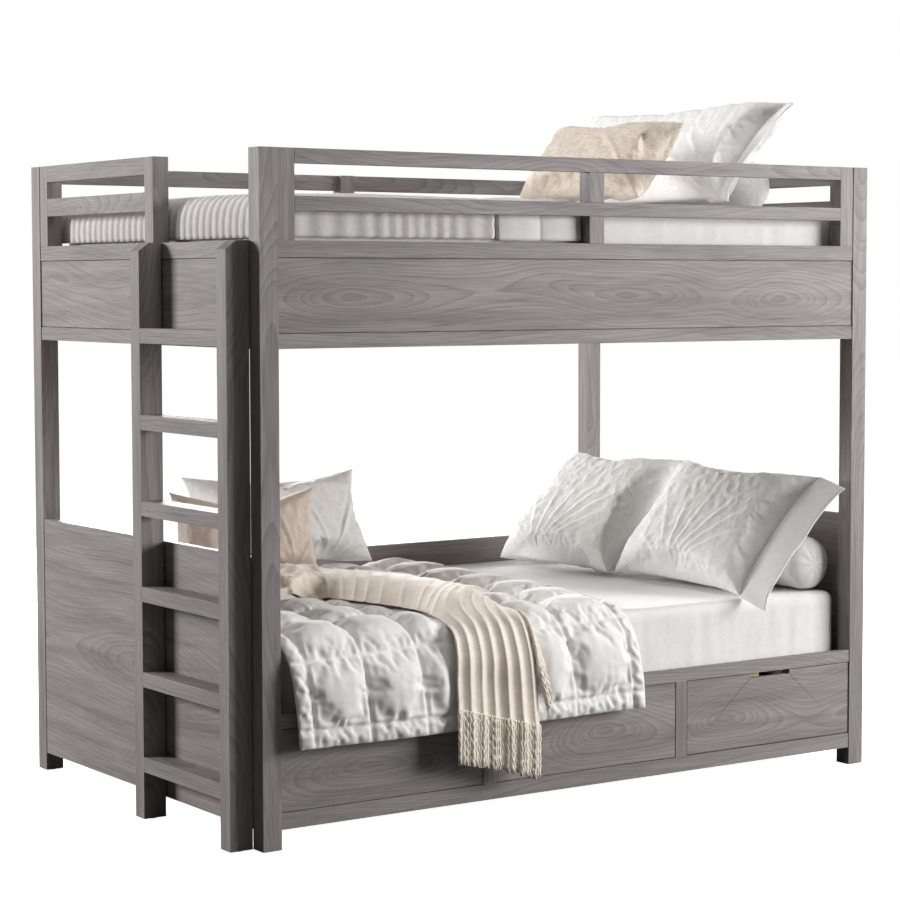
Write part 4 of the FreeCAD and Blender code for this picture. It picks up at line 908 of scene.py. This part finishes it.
def channel_quilt():
    """A quilt sewn in narrow channels along the bed.  It covers the foot of the upper bed, falls
    behind the ladder-end boards and is tucked down inside the front rails."""
    z = TOP_BED
    rib = 0.0385
    back, front, low = 0.655, -0.672, 1.660
    path, length = smooth_path([(back, z + 0.008), (0.5, z + 0.012), (0.0, z + 0.012), (-0.5, z + 0.012),
                                (-0.62, z + 0.011),
                                (-0.660, z - 0.004), (-0.680, z - 0.030), (-0.684, z - 0.07), (-0.684, low)],
                               700)
    run = np.linspace(0, length, 700)
    q = np.arange(0, length, rib / 6)
    x = np.arange(-0.995, -0.302, 0.0105)
    xx, qq = np.meshgrid(x, q, indexing="ij")
    slack = np.array([[noise.noise(Vector((a * 5, b * 3, 1.7))) for b in q] for a in x])
    fine = np.array([[noise.noise(Vector((a * 28, b * 9, 6.1))) for b in q] for a in x])
    hanging = fade(qq, length - 0.10, length - 0.06)
    height = (rib_height(qq, rib, 7 * MM) * (1 - 0.5 * hanging) + slack * 4 * MM * (1 - hanging)
              + fine * 1.6 * MM)
    height += hanging * 2.5 * MM * np.sin(xx * 120 + 4 * np.sin(xx * 11))
    y, h = np.interp(qq, run, path[:, 0]), np.interp(qq, run, path[:, 1])
    base = np.stack([xx, y, h], axis=2)
    out = normals(base)
    out *= np.sign(out[5, 5, 2])
    under = base - out * 6 * MM
    points, faces = shell(base + out * height[:, :, None], under)
    along, length = smooth_path([(-0.90, z + 0.004), (-0.97, z + 0.010), (-1.005, z + 0.004),
                                 (-1.024, z - 0.022), (-1.030, z - 0.06), (-1.030, 1.662)], 60)
    s = np.linspace(0, length, 24)
    run = np.linspace(0, length, 60)
    across = np.arange(0, back - front - 0.02, rib / 6)
    ss, aa = np.meshgrid(s, across, indexing="ij")
    xe, ze = np.interp(ss, run, along[:, 0]), np.interp(ss, run, along[:, 1])
    base = np.stack([xe, back - aa, ze], axis=2)
    out = normals(base)
    out *= np.sign(out[1, 5, 2])
    height = rib_height(aa, rib, 10 * MM)
    end_points, end_faces = shell(base + out * height[:, :, None], base - out * 4 * MM)
    start = len(points)
    points = np.concatenate([points, end_points])
    faces = faces + [tuple(start + k for k in f) for f in end_faces]
    obj = piece("channel_quilt_on_upper_bed", points, faces, QUILT_CLOTH, ["channel_quilt"])


def coverlet():
    """A coverlet folded in three across the upper bed, its folded edges to the head, with its
    front end turned down inside the rails."""
    z = TOP_BED
    low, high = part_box("folded_coverlet")
    path, length = smooth_path([(0.655, z + 0.010), (0.5, z + 0.013), (-0.5, z + 0.013), (-0.63, z + 0.011),
                                (-0.664, z - 0.006),
                                (-0.680, z - 0.032), (-0.684, z - 0.07), (-0.684, 1.660)], 300)
    run = np.linspace(0, length, 300)
    q = np.linspace(0, length, 150)
    x = np.linspace(low.x + 0.002, high.x - 0.002, 57)
    xx, qq = np.meshgrid(x, q, indexing="ij")
    y, h = np.interp(qq, run, path[:, 0]), np.interp(qq, run, path[:, 1])
    base = np.stack([xx, y, h], axis=2)
    out = normals(base)
    out *= np.sign(out[5, 5, 2])
    part = (xx - low.x) / (high.x - low.x)
    bulge = 7 * MM * np.abs(np.sin(np.pi * part * 2)) ** 0.4
    for i, a in enumerate(x):
        for j, b in enumerate(q):
            bulge[i, j] += noise.noise(Vector((a * 22, b * 7, 2.2))) * 1.3 * MM
    points, faces = shell(base + out * bulge[:, :, None], base - out * 7 * MM)
    obj = piece("coverlet_on_upper_bed", points, faces, COVERLET_CLOTH, ["folded_coverlet"])


comforter()
throw()
channel_quilt()
coverlet()


# ================================================================ studio
def area_light(name, place, target, size, power):
    """A soft box of the given width and height, facing target."""
    data = bpy.data.lights.new(name, "AREA")
    data.shape, data.size, data.size_y = "RECTANGLE", size[0], size[1]
    data.energy = power
    lamp = bpy.data.objects.new(name, data)
    lamp.location = place
    lamp.rotation_euler = (Vector(target) - Vector(place)).to_track_quat("-Z", "Y").to_euler()
    scene.collection.objects.link(lamp)


def studio():
    """A pale floor and surround, a soft key from behind the ladder end, a broad front light that
    comes along the long side, a broad one behind, and a weak one above."""
    area_light("key", (-6.5, 4.6, 2.9), (0, 0, 1.1), (2.4, 1.8), 600)
    area_light("back", (1.2, 6.4, 2.3), (0.2, 0, 0.6), (4.5, 1.4), 560)
    area_light("front", (5.6, -5.2, 2.3), (0, -0.5, 0.8), (4.0, 3.0), 610)
    area_light("top", (-0.5, -1.5, 6.0), (0, 0, 0.5), (4.0, 4.0), 120)
    world = bpy.data.worlds.new("white_surround")
    world.use_nodes = True
    tree = world.node_tree
    ground = tree.nodes["Background"]
    ground.inputs["Color"].default_value = (1, 1, 1, 1)
    ground.inputs["Strength"].default_value = 0.07
    bright = add(tree, "ShaderNodeBackground", {0: (1, 1, 1, 1), 1: 1.0})
    ray = add(tree, "ShaderNodeLightPath").outputs["Is Camera Ray"]
    both = add(tree, "ShaderNodeMixShader", {0: ray, 1: ground, 2: bright})
    tree.links.new(both.outputs[0], tree.nodes["World Output"].inputs["Surface"])
    scene.world = world
    mesh = bpy.data.meshes.new("floor")
    mesh.from_pydata([(-30, -30, 0), (30, -30, 0), (30, 30, 0), (-30, 30, 0)], [], [(0, 1, 2, 3)])
    floor = bpy.data.objects.new("floor", mesh)
    scene.collection.objects.link(floor)
    material, tree, shader = new_material("painted_floor", Roughness=0.9, Specular_IOR_Level=0.1)
    cloud = add(tree, "ShaderNodeTexNoise", {0: add(tree, "ShaderNodeTexCoord").outputs["Object"],
                                             "Scale": 0.6})
    colour = ramp(tree, cloud, (0.3, "#626262"), (0.7, "#6A6A6A"))
    tree.links.new(colour.outputs[0], shader.inputs["Base Color"])
    bright = add(tree, "ShaderNodeBsdfDiffuse", {0: (0.95, 0.95, 0.95, 1)})
    glow = add(tree, "ShaderNodeEmission", {0: (1, 1, 1, 1), 1: 0.98})
    seen = add(tree, "ShaderNodeAddShader", {0: bright, 1: glow})
    ray = add(tree, "ShaderNodeLightPath").outputs["Is Camera Ray"]
    both = add(tree, "ShaderNodeMixShader", {0: ray, 1: shader, 2: seen})
    tree.links.new(both.outputs[0], tree.nodes["Material Output"].inputs["Surface"])
    mesh.materials.append(material)


def camera():
    """Three quarters from the ladder end, near the height of the upper deck."""
    data = bpy.data.cameras.new("camera")
    data.lens, data.sensor_width, data.shift_x = 98.37, 36.0, -0.0556
    obj = bpy.data.objects.new("camera", data)
    obj.location = (-4.3204, -6.4620, 1.5381)
    heading, dip, roll = math.radians(34.896), math.radians(3.883), math.radians(0.036)
    turn = (Matrix.Rotation(-heading, 3, "Z") @ Matrix.Rotation(math.pi / 2 - dip, 3, "X")
            @ Matrix.Rotation(-roll, 3, "Z"))
    obj.rotation_euler = turn.to_euler()
    scene.collection.objects.link(obj)
    scene.camera = obj


studio()
camera()
scene.view_settings.view_transform = "Standard"
